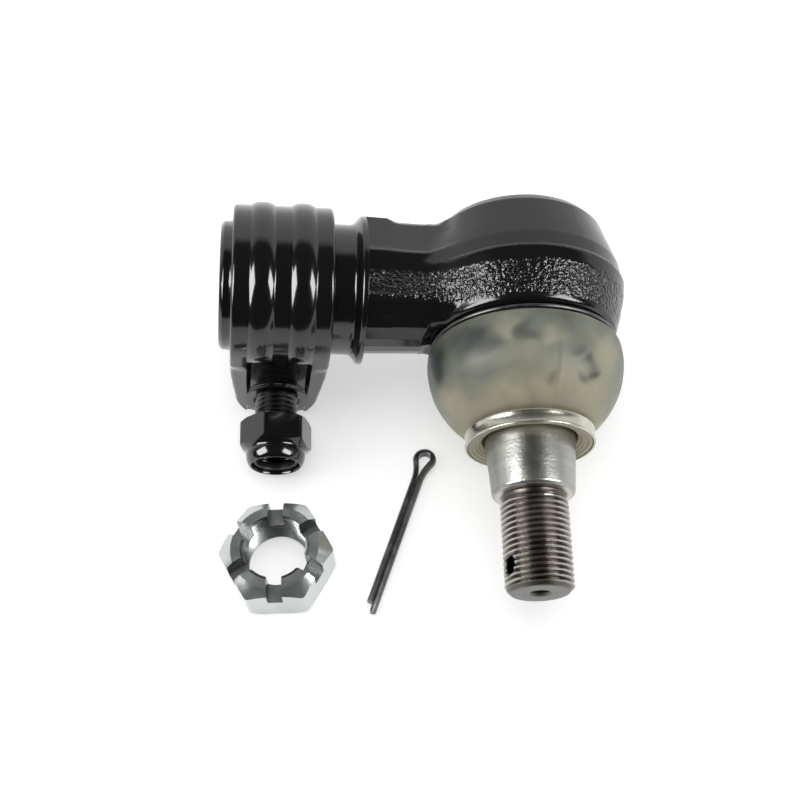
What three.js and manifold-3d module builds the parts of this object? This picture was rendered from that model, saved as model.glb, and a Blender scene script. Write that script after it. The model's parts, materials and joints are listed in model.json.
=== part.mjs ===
// Tie rod end for a heavy vehicle: a forged housing with a screw-on tube,
// a pinch clamp, a ball stud under a dust boot, and its castle nut and
// cotter pin lying beside it. Millimetres, +Z up, lying on its side.
import * as THREE from 'three';
import { mergeVertices } from 'three/addons/utils/BufferGeometryUtils.js';
import Module from 'manifold-3d';

const wasm = await Module();
wasm.setup();

// ---------------------------------------------------------------- sizes
// All lengths along the stud axis are measured from the ball centre:
// positive towards the stud's thread, negative towards the cover.
const ROUND = 40;               // sides of a large turned surface
const ROUND_SMALL = 24;         // sides of a small or hidden one
const CLEAR = 0.3;              // gap between neighbouring pieces
const SLIDE = 0.35;             // gap of a turning fit

// the ball decides the bore round it
const ballR = 20.5;

// housing
const housingR = 38.2;          // widest radius of the forging
const housingWidest = 0.5;      // where it is widest
const skirtR = housingR - 4;    // radius at the stud-side edge
const skirtAt = 19.6;           // stud-side edge of the forging
const grooveR = skirtR - 4;     // floor of the boot groove
const noseR = grooveR + 3;      // lip in front of the boot groove
const noseAt = 24.6;            // stud-side end of the housing
const boreR = ballR + 5.5;      // bore for the bearing shells
const shellSeatAt = ballR - 9.9; // shoulder that holds the front shell
const mouthGap = 0.653;         // from that shoulder's edge to the ball
const mouthR = Math.sqrt(ballR ** 2 - shellSeatAt ** 2) + mouthGap;
const mouthFlareR = mouthR + 5; // opening at the stud-side end

// cover, springs and plate behind the ball
const coverAt = -ballR - 5.9;   // outer face of the cover
const coverThick = 4.2;
const coverR = boreR + 0.9;     // rests on a step in the housing
const coverPadR = 15;           // raised flat pad in the middle
const coverPadRise = 1.0;
const rimAt = coverAt + 0.4;    // end of the forging's rim
const rimR = coverR + 3.7;      // radius of that rim
const rimLipR = coverR - 1.9;   // inner edge of the rolled rim
const sealWire = 1.8;           // section of the cover seal
const plateThick = 2.0;
const plateR = boreR - 2.6;
const plateBallGap = 0.845;     // from the plate's hole to the ball's back
const springR = boreR - 2.8;
const springHoleR = ballR - 9;
const springThick = 1.1;
const springCone = 0.95;        // height of the cone of one disc spring

// ball stud
const neckR = 12.4;
const taperLargeR = 16.2;       // taper where it leaves the neck
const taperSmallR = 14.6;
const taperStartAt = 57.0;
const taperEndAt = 78.6;
const threadR = 12.0;           // M24
const threadReliefR = 10.9;
const threadStartAt = 80.4;
const studEndAt = 113.5;
const studEndR = 10.0;
const studChamfer = 2.0;
const centreHoleR = 3.1;
const centreHoleDeep = 5.0;
const cotterHoleR = 3.15;
const cotterHoleAt = 104.6;
const cotterHoleTurn = 17;      // degrees above the tube side

// dust boot
const bootR = housingR - 2.7;
const bootWidestAt = 29.0;
const bootWall = 2.4;
const bootLipR = 16.9;          // lip on the stud, clear of the taper
const clipWire = 1.5;           // section of the clip ring
const bootBead = 1.8;           // thickness of the boot in the groove

// boot collar (steel ring on the small end)
const collarR = 23.2;
const collarAt = 54.9;
const collarLong = 5.4;
const collarWall = 1.3;

// neck and tube, along the tube axis from the stud axis
const tubeEndAt = housingR + 72.3;
const tubeR = 23.75;
const threadBoreR = 17.2;       // M36 internal thread, at its crests
const threadBoreDeep = 52;
const boreChamfer = 1.6;
const tubeChamfer = 1.2;
const slotWide = 4.0;
const flangeR = tubeR + 3.25;
const flangeInnerAt = housingR + 11;
const flangeCrestInnerAt = flangeInnerAt + 3.6;
const flangeCrestOuterAt = flangeInnerAt + 11.5;
const flangeOuterAt = flangeInnerAt + 14.6;
const slotLong = tubeEndAt - flangeOuterAt - 3.3; // ends just short of the flange
const bootRoomGap = 1.6;        // recess in the neck round the boot
const neckHalfY = tubeR - 1.55; // half height on the stud side
const neckBackY = tubeR + 0.65; // half height on the cover side
const neckHalfZ = tubeR - 4.55;
const neckFlatY = 12.6;         // half height of the front and back flats
const neckFlatZ = 9.5;          // half width of the top and bottom flats

// clamp
const boltR = 8.0;              // M16 clamp bolt
const clampWide = 35.6;
const clampCentreAt = tubeEndAt - clampWide / 2 - 4.2;
const clampThick = 5.3;
const ribRise = 1.1;
const ribWide = 7.6;
const ribPitch = 14.4;
const earBoltDrop = tubeR + boltR + 3.25; // bolt axis behind the tube axis
const earEndR = boltR + 7;
const earDish = 1.2;            // pressed panel in the ear
const earDishWide = 2 * earEndR - 8;

// clamp bolt M16 and its lock nut
const boltHeadAcross = 3 * boltR;
const boltHeadHigh = 10.0;
const boltHole = 2 * (boltR + 0.8);
const nutBackAt = -(tubeR + CLEAR + clampThick) - 9.65; // the nut is not run up to the ear
const boltTipAt = nutBackAt - 11.2; // end of the bolt, on the stud side
const nutAcross = 3 * boltR;
const nutHexHigh = 11.2;
const nutTurn = 11;             // degrees, how the nut happens to stand
const nutCollarHigh = 5.8;
const nutCollarR = boltR + 1.9;
const nutInsertR = boltR - 0.9;
const nutInsertHigh = 3.4;

// castle nut M24 and cotter pin, lying on the same surface
const castleAcross = 3 * threadR;
const castleHigh = 18.6;
const castleSlotWide = 5.5;
const castleSlotDeep = 7.6;
const castleBoreR = threadR - 1.05;
const castleTopR = castleAcross / 2 - 1.1;
const castleX = -clampCentreAt - 3.2; // lies in front of the clamp nut
const castleY = coverAt - coverPadRise + nutBackAt - nutHexHigh - nutCollarHigh - 32.7;
const castleTurn = 0;           // degrees
const pinR = cotterHoleR - 1.05; // radius of the half-round wire
const pinLong = 63.4;           // from the eye's centre to the long tip
const pinShort = 3.4;           // how much shorter the other leg is
const pinEyeR = 4.4;            // outer radius of the eye
const pinX = -bootR - 2.3;
const pinY = coverAt - coverPadRise - collarAt + 6.8;
const pinTurn = 19.6;           // degrees from the stud direction
const pinGap = 0.3;             // between the two flat sides

// ---------------------------------------------------------------- helpers
function toManifold(geometry) {
  const g = geometry.clone();
  for (const name of Object.keys(g.attributes)) if (name !== 'position') g.deleteAttribute(name);
  const m = mergeVertices(g, 1e-4);
  const pos = m.attributes.position.array;
  const raw = m.index.array;
  const tris = [];
  let volume = 0;
  const p = (i) => [pos[3 * i], pos[3 * i + 1], pos[3 * i + 2]];
  for (let i = 0; i < raw.length; i += 3) {
    const [a, b, c] = [raw[i], raw[i + 1], raw[i + 2]];
    if (a === b || b === c || c === a) continue;
    tris.push(a, b, c);
    const [A, B, C] = [p(a), p(b), p(c)];
    volume += A[0] * (B[1] * C[2] - B[2] * C[1]) - A[1] * (B[0] * C[2] - B[2] * C[0])
      + A[2] * (B[0] * C[1] - B[1] * C[0]);
  }
  if (volume < 0) for (let i = 0; i < tris.length; i += 3) [tris[i + 1], tris[i + 2]] = [tris[i + 2], tris[i + 1]];
  return new wasm.Manifold(new wasm.Mesh({
    numProp: 3,
    vertProperties: new Float32Array(pos),
    triVerts: new Uint32Array(tris),
  }));
}

function toGeometry(solid) {
  const mesh = solid.getMesh();
  const g = new THREE.BufferGeometry();
  g.setAttribute('position', new THREE.BufferAttribute(new Float32Array(mesh.vertProperties), 3));
  g.setIndex(new THREE.BufferAttribute(new Uint32Array(mesh.triVerts), 1));
  g.computeVertexNormals();
  return g;
}

// A body turned about the stud axis. Points are [radius, distance from the
// ball centre]; the profile is a closed loop or starts and ends on the axis.
function turned(points, sides = ROUND) {
  const pts = points.map(([r, at]) => new THREE.Vector2(Math.max(r, 0), -at));
  const first = points[0], last = points[points.length - 1];
  const closed = first[0] > 0 || last[0] > 0;
  if (closed) pts.push(new THREE.Vector2(first[0], -first[1]));
  return toManifold(new THREE.LatheGeometry(pts, sides));
}

// A plain bar between two stations of the stud axis.
function bar(radius, from, to, sides = ROUND_SMALL) {
  return turned([[0, from], [radius, from], [radius, to], [0, to]], sides);
}

// Turns a body made about the Y axis so that its axis is X, its +at end to -X.
function alongTube(solid) {
  return solid.rotate([0, 0, -90]);
}

function extruded(outline, depth) {
  const shape = new THREE.Shape(outline.map(([x, y]) => new THREE.Vector2(x, y)));
  return toManifold(new THREE.ExtrudeGeometry(shape, { depth, bevelEnabled: false }));
}

// A smooth skin over rings with equal numbers of points, closed at both ends.
function skinned(rings) {
  const n = rings[0].length;
  const pos = [];
  const idx = [];
  for (const ring of rings) for (const q of ring) pos.push(...q);
  for (let k = 0; k + 1 < rings.length; k++) {
    for (let i = 0; i < n; i++) {
      const a = k * n + i, b = k * n + (i + 1) % n;
      idx.push(a, b, a + n, b, b + n, a + n);
    }
  }
  const last = (rings.length - 1) * n;
  for (let i = 1; i + 1 < n; i++) {
    idx.push(0, i + 1, i);
    idx.push(last, last + i, last + i + 1);
  }
  const g = new THREE.BufferGeometry();
  g.setAttribute('position', new THREE.Float32BufferAttribute(pos, 3));
  g.setIndex(idx);
  return toManifold(g);
}

function hexagon(across, turn = 0) {
  const r = across / Math.sqrt(3);
  return Array.from({ length: 6 }, (_, i) => {
    const a = Math.PI / 3 * i + turn;
    return [r * Math.cos(a), r * Math.sin(a)];
  });
}

const piece = {};
const material = (color, roughness, metalness, extra = {}) =>
  new THREE.MeshStandardMaterial({ color, roughness, metalness, ...extra });
const black = () => material(0x0c0c0d, 0.28, 0.1);
const forged = () => material(0x0b0b0c, 0.42, 0.1);
const steel = () => material(0x8d8d8a, 0.34, 0.95);
const darkSteel = () => material(0x4c4a47, 0.42, 0.9);
const zinc = () => material(0xc9ccd0, 0.22, 1.0);

function addMesh(parent, name, solid, mat) {
  const mesh = new THREE.Mesh(toGeometry(solid), mat);
  mesh.name = name;
  parent.add(mesh);
  piece[name] = mesh;
  return mesh;
}

const assembly = new THREE.Group();

// ---------------------------------------------------------------- housing
const coverStep = coverAt + coverThick;
{
  const body = turned([
    [0, rimAt], [rimR - 2.0, rimAt], [rimR, rimAt + 1.6], [rimR + 1.4, rimAt + 3.4],
    [housingR - 0.9, housingWidest - 6.5], [housingR - 0.1, housingWidest - 1.8],
    [housingR, housingWidest], [housingR - 0.5, housingWidest + 3.6],
    [skirtR + 1.3, skirtAt - 6.0], [skirtR, skirtAt - 1.2], [skirtR - 1.1, skirtAt],
    [grooveR, skirtAt + 0.3], [grooveR, noseAt - 1.8], [noseR, noseAt - 1.4],
    [noseR, noseAt - 0.2], [noseR - 0.3, noseAt], [0, noseAt],
  ]);

  // neck: an eight-sided bar with rounded corners, swelling into the ball end
  const corner = (y, z, grow) => [y * grow, z * grow];
  const neckSection = (at, grow, growFlat) => {
    const half = [
      corner(neckHalfY, 0, grow), corner(neckHalfY - 0.5, neckFlatZ * 0.55, grow),
      corner(neckHalfY - 2.0, neckFlatZ, grow),
      corner((neckHalfY + neckFlatY) / 2, (neckFlatZ + neckHalfZ) / 2 + 0.4, grow),
      corner(neckFlatY * growFlat, neckHalfZ - 1.4, grow), corner(neckFlatY * 0.55, neckHalfZ, grow),
    ];
    const ring = [];
    const back = 1 + (neckBackY / neckHalfY - 1) * Math.min(1, Math.max(0, (at - 28) / 10));
    for (const [y, z] of half) ring.push([-at, y * back, z]);
    for (const [y, z] of [...half].reverse()) ring.push([-at, -y, z]);
    for (const [y, z] of half.slice(1)) ring.push([-at, -y, -z]);
    for (const [y, z] of [...half.slice(1)].reverse()) ring.push([-at, y * back, -z]);
    return ring;
  };
  const neck = skinned([
    neckSection(18, 1.16, 1), neckSection(28, 1.12, 1), neckSection(33, 1.05, 1),
    neckSection(38, 1.0, 1), neckSection(flangeInnerAt - 2.5, 1.0, 1),
    neckSection(flangeCrestInnerAt - 0.4, 1.07, 1), neckSection(flangeCrestInnerAt + 1, 1.08, 1),
  ]);

  // machined recess that keeps the neck clear of the boot
  const bootRoom = turned([
    [0, skirtAt], [bootR + bootRoomGap, skirtAt], [bootR + bootRoomGap + 1.5, noseAt + 20], [0, noseAt + 20],
  ]);

  // flange and tube, turned about the tube axis
  const tube = alongTube(turned([
    [0, flangeInnerAt], [tubeR - 1.2, flangeInnerAt], [flangeR, flangeCrestInnerAt],
    [flangeR, flangeCrestOuterAt], [tubeR, flangeOuterAt], [tubeR, tubeEndAt - tubeChamfer],
    [tubeR - tubeChamfer, tubeEndAt], [0, tubeEndAt],
  ]));

  // hollow for shells, springs and cover, open at both ends
  const hollow = turned([
    [0, rimAt - 2], [rimLipR, rimAt - 2], [rimLipR, coverAt - 0.1], [coverR + CLEAR, coverAt + 0.6],
    [coverR + CLEAR, coverStep + CLEAR], [boreR, coverStep + CLEAR], [boreR, shellSeatAt - 6.4],
    [mouthR + 3.4, shellSeatAt], [mouthR, shellSeatAt + 0.6], [mouthR + 0.4, shellSeatAt + 2.6],
    [mouthFlareR, noseAt + 0.01], [mouthFlareR, noseAt + 2], [0, noseAt + 2],
  ]);
  const threadBore = alongTube(turned([
    [0, tubeEndAt - threadBoreDeep - 6], [threadBoreR, tubeEndAt - threadBoreDeep],
    [threadBoreR, tubeEndAt - boreChamfer], [threadBoreR + boreChamfer, tubeEndAt],
    [threadBoreR + boreChamfer, tubeEndAt + 3], [0, tubeEndAt + 3],
  ], 36));
  // lengthwise slot on the clamp's open side, with a round end
  const slot = toManifold(new THREE.BoxGeometry(slotLong, slotWide, tubeR + 6))
    .translate([-(tubeEndAt - slotLong / 2 + 0.5), 0, -(tubeR + 6) / 2])
    .add(toManifold(new THREE.CylinderGeometry(slotWide / 2 + 0.6, slotWide / 2 + 0.6, tubeR + 6, 20))
      .rotate([90, 0, 0]).translate([-(tubeEndAt - slotLong + 0.5), 0, -(tubeR + 6) / 2]));
  const housing = body.add(neck.subtract(bootRoom)).add(tube).subtract(hollow).subtract(threadBore).subtract(slot);
  addMesh(assembly, 'housing', housing, forged());
}

// ---------------------------------------------------------------- cover side
const plateBackAt = coverStep + 2 * (springThick + springCone) + 3 * CLEAR;
const shellBackAt = plateBackAt + plateThick + CLEAR;
const plateHoleR = Math.sqrt(ballR ** 2 - (plateBackAt + plateThick) ** 2) + plateBallGap;
addMesh(assembly, 'cover_plate', turned([
  [0, coverAt - coverPadRise], [coverPadR, coverAt - coverPadRise], [coverPadR + 1.2, coverAt],
  [rimLipR - CLEAR, coverAt], [coverR - 0.2, coverAt + 1.3], [coverR - 0.2, coverStep - sealWire - 0.2],
  [coverR - sealWire - 0.4, coverStep - sealWire - 0.2], [coverR - sealWire - 0.4, coverStep], [0, coverStep],
]), darkSteel());
addMesh(assembly, 'cover_seal', turned(
  Array.from({ length: 6 }, (_, i) => {
    const a = Math.PI / 3 * i;
    const r = (sealWire - 0.3) / 2;
    return [coverR - sealWire / 2 - 0.2 + r * Math.cos(a), coverStep - sealWire / 2 + 0.1 + r * Math.sin(a)];
  }), ROUND_SMALL), material(0x151515, 0.6, 0));

function discSpring(at, turnedOver) {
  const [inner, outer] = turnedOver ? [0, springCone] : [springCone, 0];
  return turned([
    [springHoleR, at + inner], [springR, at + outer],
    [springR, at + outer + springThick], [springHoleR, at + inner + springThick],
  ], ROUND_SMALL);
}
addMesh(assembly, 'disc_spring_outer', discSpring(coverStep + CLEAR, false), darkSteel());
addMesh(assembly, 'disc_spring_inner', discSpring(coverStep + 2 * CLEAR + springThick + springCone, true), darkSteel());
// The two cones meet at their inner edges, so the second starts one gap on.
addMesh(assembly, 'pressure_plate', turned([
  [plateHoleR, plateBackAt], [plateR, plateBackAt], [plateR, plateBackAt + plateThick],
  [plateHoleR, plateBackAt + plateThick],
], ROUND_SMALL), darkSteel());

// ---------------------------------------------------------------- bearing shells
const shellR = boreR - SLIDE;
const socketR = ballR + SLIDE;
const arcPoints = (radius, fromAt, toAt, steps) => Array.from({ length: steps + 1 }, (_, i) => {
  const at = fromAt + (toAt - fromAt) * i / steps;
  return [Math.sqrt(radius * radius - at * at), at];
});
addMesh(assembly, 'bearing_shell_back', turned([
  ...arcPoints(socketR, shellBackAt, -0.4, 5),
  [shellR, -0.4], [shellR, shellBackAt + 1.2], [shellR - 1.2, shellBackAt],
], 32), material(0xd8d2bd, 0.5, 0));
const frontShellEnd = shellSeatAt - 0.4;
addMesh(assembly, 'bearing_shell_front', turned([
  [shellR, 0.4], ...arcPoints(socketR, 0.4, frontShellEnd, 4),
  [mouthR + 3.0, frontShellEnd], [shellR, shellSeatAt - 6.7],
], 32), material(0xd8d2bd, 0.5, 0));

// ---------------------------------------------------------------- ball stud
{
  const ballBackAt = -ballR * 0.84;
  const neckLeavesBall = Math.sqrt(ballR * ballR - neckR * neckR);
  const ball = Array.from({ length: 10 }, (_, i) => {
    const from = Math.acos(Math.max(-1, ballBackAt / ballR));
    const to = Math.acos(neckLeavesBall / ballR);
    const a = from + (to - from) * i / 9;
    return [ballR * Math.sin(a), ballR * Math.cos(a)];
  });
  const stud = turned([
    [0, ballBackAt], ...ball,
    [neckR, neckLeavesBall + 2], [neckR, taperStartAt - 12], [taperLargeR, taperStartAt - 3],
    [taperLargeR, taperStartAt], [taperSmallR, taperEndAt], [threadReliefR, taperEndAt + 0.9],
    [threadReliefR, threadStartAt - 0.6], [threadR, threadStartAt + 0.6],
    [threadR, studEndAt - studChamfer], [studEndR, studEndAt],
    [centreHoleR + 0.7, studEndAt], [centreHoleR, studEndAt - 0.7],
    [centreHoleR, studEndAt - centreHoleDeep + 1.8], [0, studEndAt - centreHoleDeep],
  ]);
  const across = toManifold(new THREE.CylinderGeometry(cotterHoleR, cotterHoleR, 3 * threadR, 20))
    .rotate([0, 0, 90]).rotate([0, cotterHoleTurn, 0]).translate([0, -cotterHoleAt, 0]);
  addMesh(assembly, 'ball_stud', stud.subtract(across), steel());
}

// ---------------------------------------------------------------- dust boot
{
  const lipAt = collarAt + collarLong - 0.6;
  const beadR = grooveR + CLEAR + bootBead;
  const outer = [
    [beadR, skirtAt + 0.8], [beadR, skirtAt + 2.9], [bootR - 1.2, skirtAt + 3.5], [bootR - 0.5, bootWidestAt - 4.0],
    [bootR - 0.1, bootWidestAt - 1.6], [bootR, bootWidestAt], [bootR - 0.1, bootWidestAt + 2.2],
    [bootR - 0.6, bootWidestAt + 5.4], [bootR - 1.3, bootWidestAt + 8.6], [bootR - 2.5, bootWidestAt + 12.2],
    [bootR - 4.3, bootWidestAt + 16.0], [bootR - 6.6, bootWidestAt + 20.0], [bootR - 9.2, bootWidestAt + 23.2],
    [collarR - collarWall - CLEAR, collarAt - 0.4], [collarR - collarWall - CLEAR, lipAt],
  ];
  const inner = [
    [bootLipR, lipAt - 0.6], [bootLipR, lipAt - 1.8], [collarR - collarWall - CLEAR - bootWall, collarAt],
    [bootR - 9.4 - bootWall, bootWidestAt + 21.6], [bootR - 5.4 - bootWall, bootWidestAt + 16.2],
    [bootR - 1.8 - bootWall, bootWidestAt + 8], [bootR - bootWall, bootWidestAt + 1],
    [bootR - 0.6 - bootWall, bootWidestAt - 3.0], [noseR + CLEAR, noseAt + CLEAR], [noseR + CLEAR, noseAt - 1.9],
    [grooveR + CLEAR, noseAt - 2.2], [grooveR + CLEAR, skirtAt + 0.8],
  ];
  addMesh(assembly, 'dust_boot', turned([...outer, ...inner]), material(0x8f907a, 0.3, 0, { transparent: true, opacity: 0.8 }));
}
// clip ring: a wire sprung round the boot's big end, beside the forging
addMesh(assembly, 'boot_clip_ring', turned(
  Array.from({ length: 8 }, (_, i) => {
    const a = Math.PI / 4 * i;
    const mid = grooveR + CLEAR + bootBead + 0.1 + clipWire / 2;
    return [mid + clipWire / 2 * Math.cos(a), skirtAt + 1.8 + clipWire / 2 * Math.sin(a)];
  })), zinc());
addMesh(assembly, 'boot_collar', turned([
  [collarR - 0.5, collarAt], [collarR, collarAt + 0.6], [collarR, collarAt + collarLong - 0.8],
  [collarR - 0.5, collarAt + collarLong], [collarR - collarWall - 1.0, collarAt + collarLong],
  [collarR - collarWall - 1.0, collarAt + collarLong - 0.4],
  [collarR - collarWall, collarAt + collarLong - 0.4], [collarR - collarWall, collarAt],
]), zinc());

// ---------------------------------------------------------------- clamp
const bandR = tubeR + CLEAR;
const bandOuterR = bandR + clampThick;
const legOut = bandOuterR;
{
  // seen along the tube: an arch over the tube with two straight legs
  const arch = (radius, drop) => {
    const pts = [];
    for (let i = 0; i <= 22; i++) {
      const a = Math.PI * i / 22;
      pts.push([radius * Math.cos(a), radius * Math.sin(a)]);
    }
    return [[radius, -drop], ...pts, [-radius, -drop]];
  };
  // the shape's x is Y here and its y is Z; extruding gives the width along X
  const uShape = (radius, drop, width) => extruded(arch(radius, drop), width)
    .rotate([90, 0, 0]).rotate([0, 0, 90]).translate([-clampCentreAt - width / 2, 0, 0]);
  const drop = earBoltDrop + earEndR;
  const legs = uShape(bandOuterR, drop, clampWide);
  const inside = uShape(bandR, drop + 5, clampWide + 4);
  // outline of the ears seen along the bolt: full width at the band,
  // narrowing to a round end about the bolt
  const outline = [];
  const halfWide = clampWide / 2;
  outline.push([-halfWide, bandOuterR + 5], [-halfWide, -8], [-halfWide + 0.9, -22]);
  for (let i = 1; i < 12; i++) {
    const a = Math.PI * (1 + i / 12);
    outline.push([earEndR * Math.cos(a), -earBoltDrop + earEndR * Math.sin(a)]);
  }
  outline.push([halfWide - 0.9, -22], [halfWide, -8], [halfWide, bandOuterR + 5]);
  const earShape = extruded(outline, 4 * bandOuterR).rotate([90, 0, 0])
    .translate([-clampCentreAt, 2 * bandOuterR, 0]);
  let clamp = legs.intersect(earShape);
  // two rounded ribs over the arch
  for (const side of [-1, 1]) {
    const ribAt = -clampCentreAt + side * ribPitch / 2;
    const steps = 6;
    const rings = [];
    for (let k = 0; k <= steps; k++) {
      const s = -1 + 2 * k / steps;
      const rise = ribRise * Math.cos(s * Math.PI / 2);
      const r = bandOuterR + rise - 0.02;
      rings.push([...arch(r, 14), ].map(([y, z]) => [ribAt + s * ribWide / 2, y, z]));
    }
    clamp = clamp.add(skinned(rings));
  }
  clamp = clamp.subtract(inside);
  // pressed panels in the ears, above the bolt head, and the bolt holes
  const panelTop = -8, panelEnd = -earBoltDrop + boltHeadAcross / Math.sqrt(3) + 0.6;
  for (const side of [-1, 1]) {
    const panel = toManifold(new THREE.BoxGeometry(earDishWide, 2 * earDish, panelTop - panelEnd))
      .translate([-clampCentreAt, side * legOut, (panelTop + panelEnd) / 2]);
    clamp = clamp.subtract(panel);
  }
  const boltBore = toManifold(new THREE.CylinderGeometry(boltHole / 2, boltHole / 2, 4 * legOut, 24))
    .translate([-clampCentreAt, 0, -earBoltDrop]);
  addMesh(assembly, 'clamp_band', clamp.subtract(boltBore), black());
}

// ---------------------------------------------------------------- clamp bolt and nut
// made about the Y axis, then moved behind the tube
const atBolt = (solid) => solid.translate([-clampCentreAt, 0, -earBoltDrop]);
// stations below are along -Y, so the head is at a negative station
function hexBlock(across, from, to, chamfer, bothEnds = true, turn = 0) {
  const block = extruded(hexagon(across, THREE.MathUtils.degToRad(turn)), to - from).rotate([90, 0, 0]).translate([0, -from, 0]);
  const corner = across / Math.sqrt(3);
  const flat = across / 2;
  const c = chamfer;
  const cone = turned([
    [0, from], bothEnds ? [flat - 0.2, from] : [corner + 1, from],
    ...(bothEnds ? [[corner + 0.05, from + c]] : []),
    [corner + 0.05, to - c], [flat - 0.2, to], [0, to],
  ], 36);
  return block.intersect(cone);
}
{
  const headFace = -legOut - CLEAR;      // bears on the ear
  const head = hexBlock(boltHeadAcross, headFace - boltHeadHigh, headFace, 1.5);
  const shank = turned([
    [0, headFace - 0.5], [boltR, headFace - 0.5], [boltR, -boltTipAt - 1.4], [boltR - 1.4, -boltTipAt], [0, -boltTipAt],
  ], ROUND_SMALL);
  addMesh(assembly, 'clamp_bolt', atBolt(head.add(shank)), darkSteel());
}
{
  const from = -nutBackAt;
  const to = from + nutHexHigh;
  const end = to + nutCollarHigh;
  const hex = hexBlock(nutAcross, from, to, 1.6, true, nutTurn);
  const collar = turned([
    [0, to - 2], [nutAcross / 2 - 0.4, to - 2], [nutAcross / 2 - 0.5, to + 0.8], [nutAcross / 2 - 1.3, to + 2.6],
    [nutCollarR, end - 0.7], [nutCollarR - 0.8, end], [0, end],
  ], 28);
  const bore = turned([
    [0, from - 1], [boltR + SLIDE + 1, from - 1], [boltR + SLIDE + 1, from], [boltR + SLIDE, from + 1],
    [boltR + SLIDE, end - nutInsertHigh - 1.1], [nutCollarR - 0.9 - CLEAR, end - nutInsertHigh - 1.1],
    [nutCollarR - 0.9 - CLEAR, end - 1.1], [nutInsertR + 0.9, end - 0.5], [nutInsertR + 0.9, end + 1], [0, end + 1],
  ], ROUND_SMALL);
  addMesh(assembly, 'clamp_nut', atBolt(hex.add(collar).subtract(bore)), black());
  addMesh(assembly, 'clamp_nut_insert', atBolt(turned([
    [nutInsertR, end - nutInsertHigh - 0.8], [nutCollarR - 1.5, end - nutInsertHigh - 0.8],
    [nutCollarR - 1.5, end - 1.4], [nutInsertR, end - 1.4],
  ], ROUND_SMALL)), material(0x2a2a2c, 0.45, 0));
}

// ---------------------------------------------------------------- how it lies
// The housing and the boot touch the ground along one line, and one clamp
// ear touches it too: lean is the turn about X, tilt the turn about Y.
const leanTan = (housingR - bootR) / (bootWidestAt - housingWidest);
const lean = Math.atan(leanTan);
const earGround = housingR - earEndR - (legOut - housingWidest) * leanTan;
const tilt = Math.acos(earGround / Math.hypot(earBoltDrop, clampCentreAt)) - Math.atan2(clampCentreAt, earBoltDrop);
const groundDrop = housingR * Math.cos(lean) + housingWidest * Math.sin(lean);

assembly.rotation.set(lean, tilt, 0);
// the origin is the middle of the cover's flat face
const coverFace = new THREE.Vector3(0, -(coverAt - coverPadRise), 0).applyEuler(assembly.rotation);
assembly.position.copy(coverFace).negate();
const groundZ = -coverFace.z - groundDrop;

// ---------------------------------------------------------------- castle nut
{
  const hex = hexBlock(castleAcross, 0, castleHigh, 2.2, false).rotate([-90, 0, 0]);
  const crown = turned([
    [0, 0], [castleAcross / Math.sqrt(3) + 1, 0], [castleAcross / Math.sqrt(3) + 1, castleHigh - 5.0],
    [castleTopR + 1.6, castleHigh - 1.4], [castleTopR, castleHigh], [0, castleHigh],
  ], 36).rotate([-90, 0, 0]);
  const bore = turned([
    [0, -1], [threadR + 0.6, -1], [threadR + 0.6, 0], [castleBoreR, 1.6], [castleBoreR, castleHigh - 1.2],
    [castleBoreR + 1.1, castleHigh], [castleBoreR + 1.1, castleHigh + 1], [0, castleHigh + 1],
  ], 32).rotate([-90, 0, 0]);
  let nut = hex.intersect(crown).subtract(bore);
  for (let i = 0; i < 3; i++) {
    // flat-bottomed slots through the middle of each flat
    const slot = toManifold(new THREE.BoxGeometry(castleSlotWide, 3 * castleAcross, 2 * castleSlotDeep))
      .translate([0, 0, castleHigh])
      .rotate([0, 0, 60 * i]);
    nut = nut.subtract(slot);
  }
  const group = new THREE.Group();
  addMesh(group, 'castle_nut', nut, zinc());
  group.position.set(castleX, castleY, groundZ);
  group.rotation.z = THREE.MathUtils.degToRad(castleTurn);
  assembly.userData.nut = group;
}

// ---------------------------------------------------------------- cotter pin
{
  // one half-round wire: up the long leg, round the eye, down the short leg;
  // the path is the middle of its flat side
  const eyeIn = pinEyeR - pinR;
  const path = [[pinGap / 2, -pinLong], [pinGap / 2, -pinEyeR - 1.8]];
  for (let i = 0; i <= 12; i++) {
    const a = THREE.MathUtils.degToRad(-60 + 300 * i / 12);
    path.push([eyeIn * Math.cos(a), eyeIn * Math.sin(a)]);
  }
  path.push([-pinGap / 2, -pinEyeR - 1.8], [-pinGap / 2, -pinLong + pinShort]);
  const arcSteps = 6;
  const rings = path.map((q, k) => {
    const before = path[Math.max(k - 1, 0)], after = path[Math.min(k + 1, path.length - 1)];
    const t = new THREE.Vector2(after[0] - before[0], after[1] - before[1]).normalize();
    const out = new THREE.Vector2(t.y, -t.x);          // away from the eye's middle
    return Array.from({ length: arcSteps + 1 }, (_, i) => {
      const a = Math.PI * (i / arcSteps - 0.5);
      return [q[0] + out.x * pinR * Math.cos(a), q[1] + out.y * pinR * Math.cos(a), pinR * Math.sin(a)];
    });
  });
  const group = new THREE.Group();
  addMesh(group, 'cotter_pin', skinned(rings), darkSteel());
  group.position.set(pinX, pinY, groundZ + pinR);
  group.rotation.z = THREE.MathUtils.degToRad(-pinTurn);
  assembly.userData.pin = group;
}

const tieRodEnd = new THREE.Group();
tieRodEnd.add(assembly, assembly.userData.nut, assembly.userData.pin);
export default tieRodEnd;
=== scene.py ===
# %% [markdown]
# # A tie rod end for a heavy vehicle
# The real part is a steel forging with a ball joint inside. A tapered stud
# leaves the joint through a soft boot, and a tube with an inside thread
# leaves it sideways, pinched by a ribbed clamp. Its slotted nut and split pin
# lie beside it. Every visible piece is built here at full detail around the
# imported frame, so each one sits exactly where the frame says.

# %% Load the frame
import json
import math
import bpy
import bmesh
import numpy as np
from mathutils import Matrix, Vector


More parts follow.
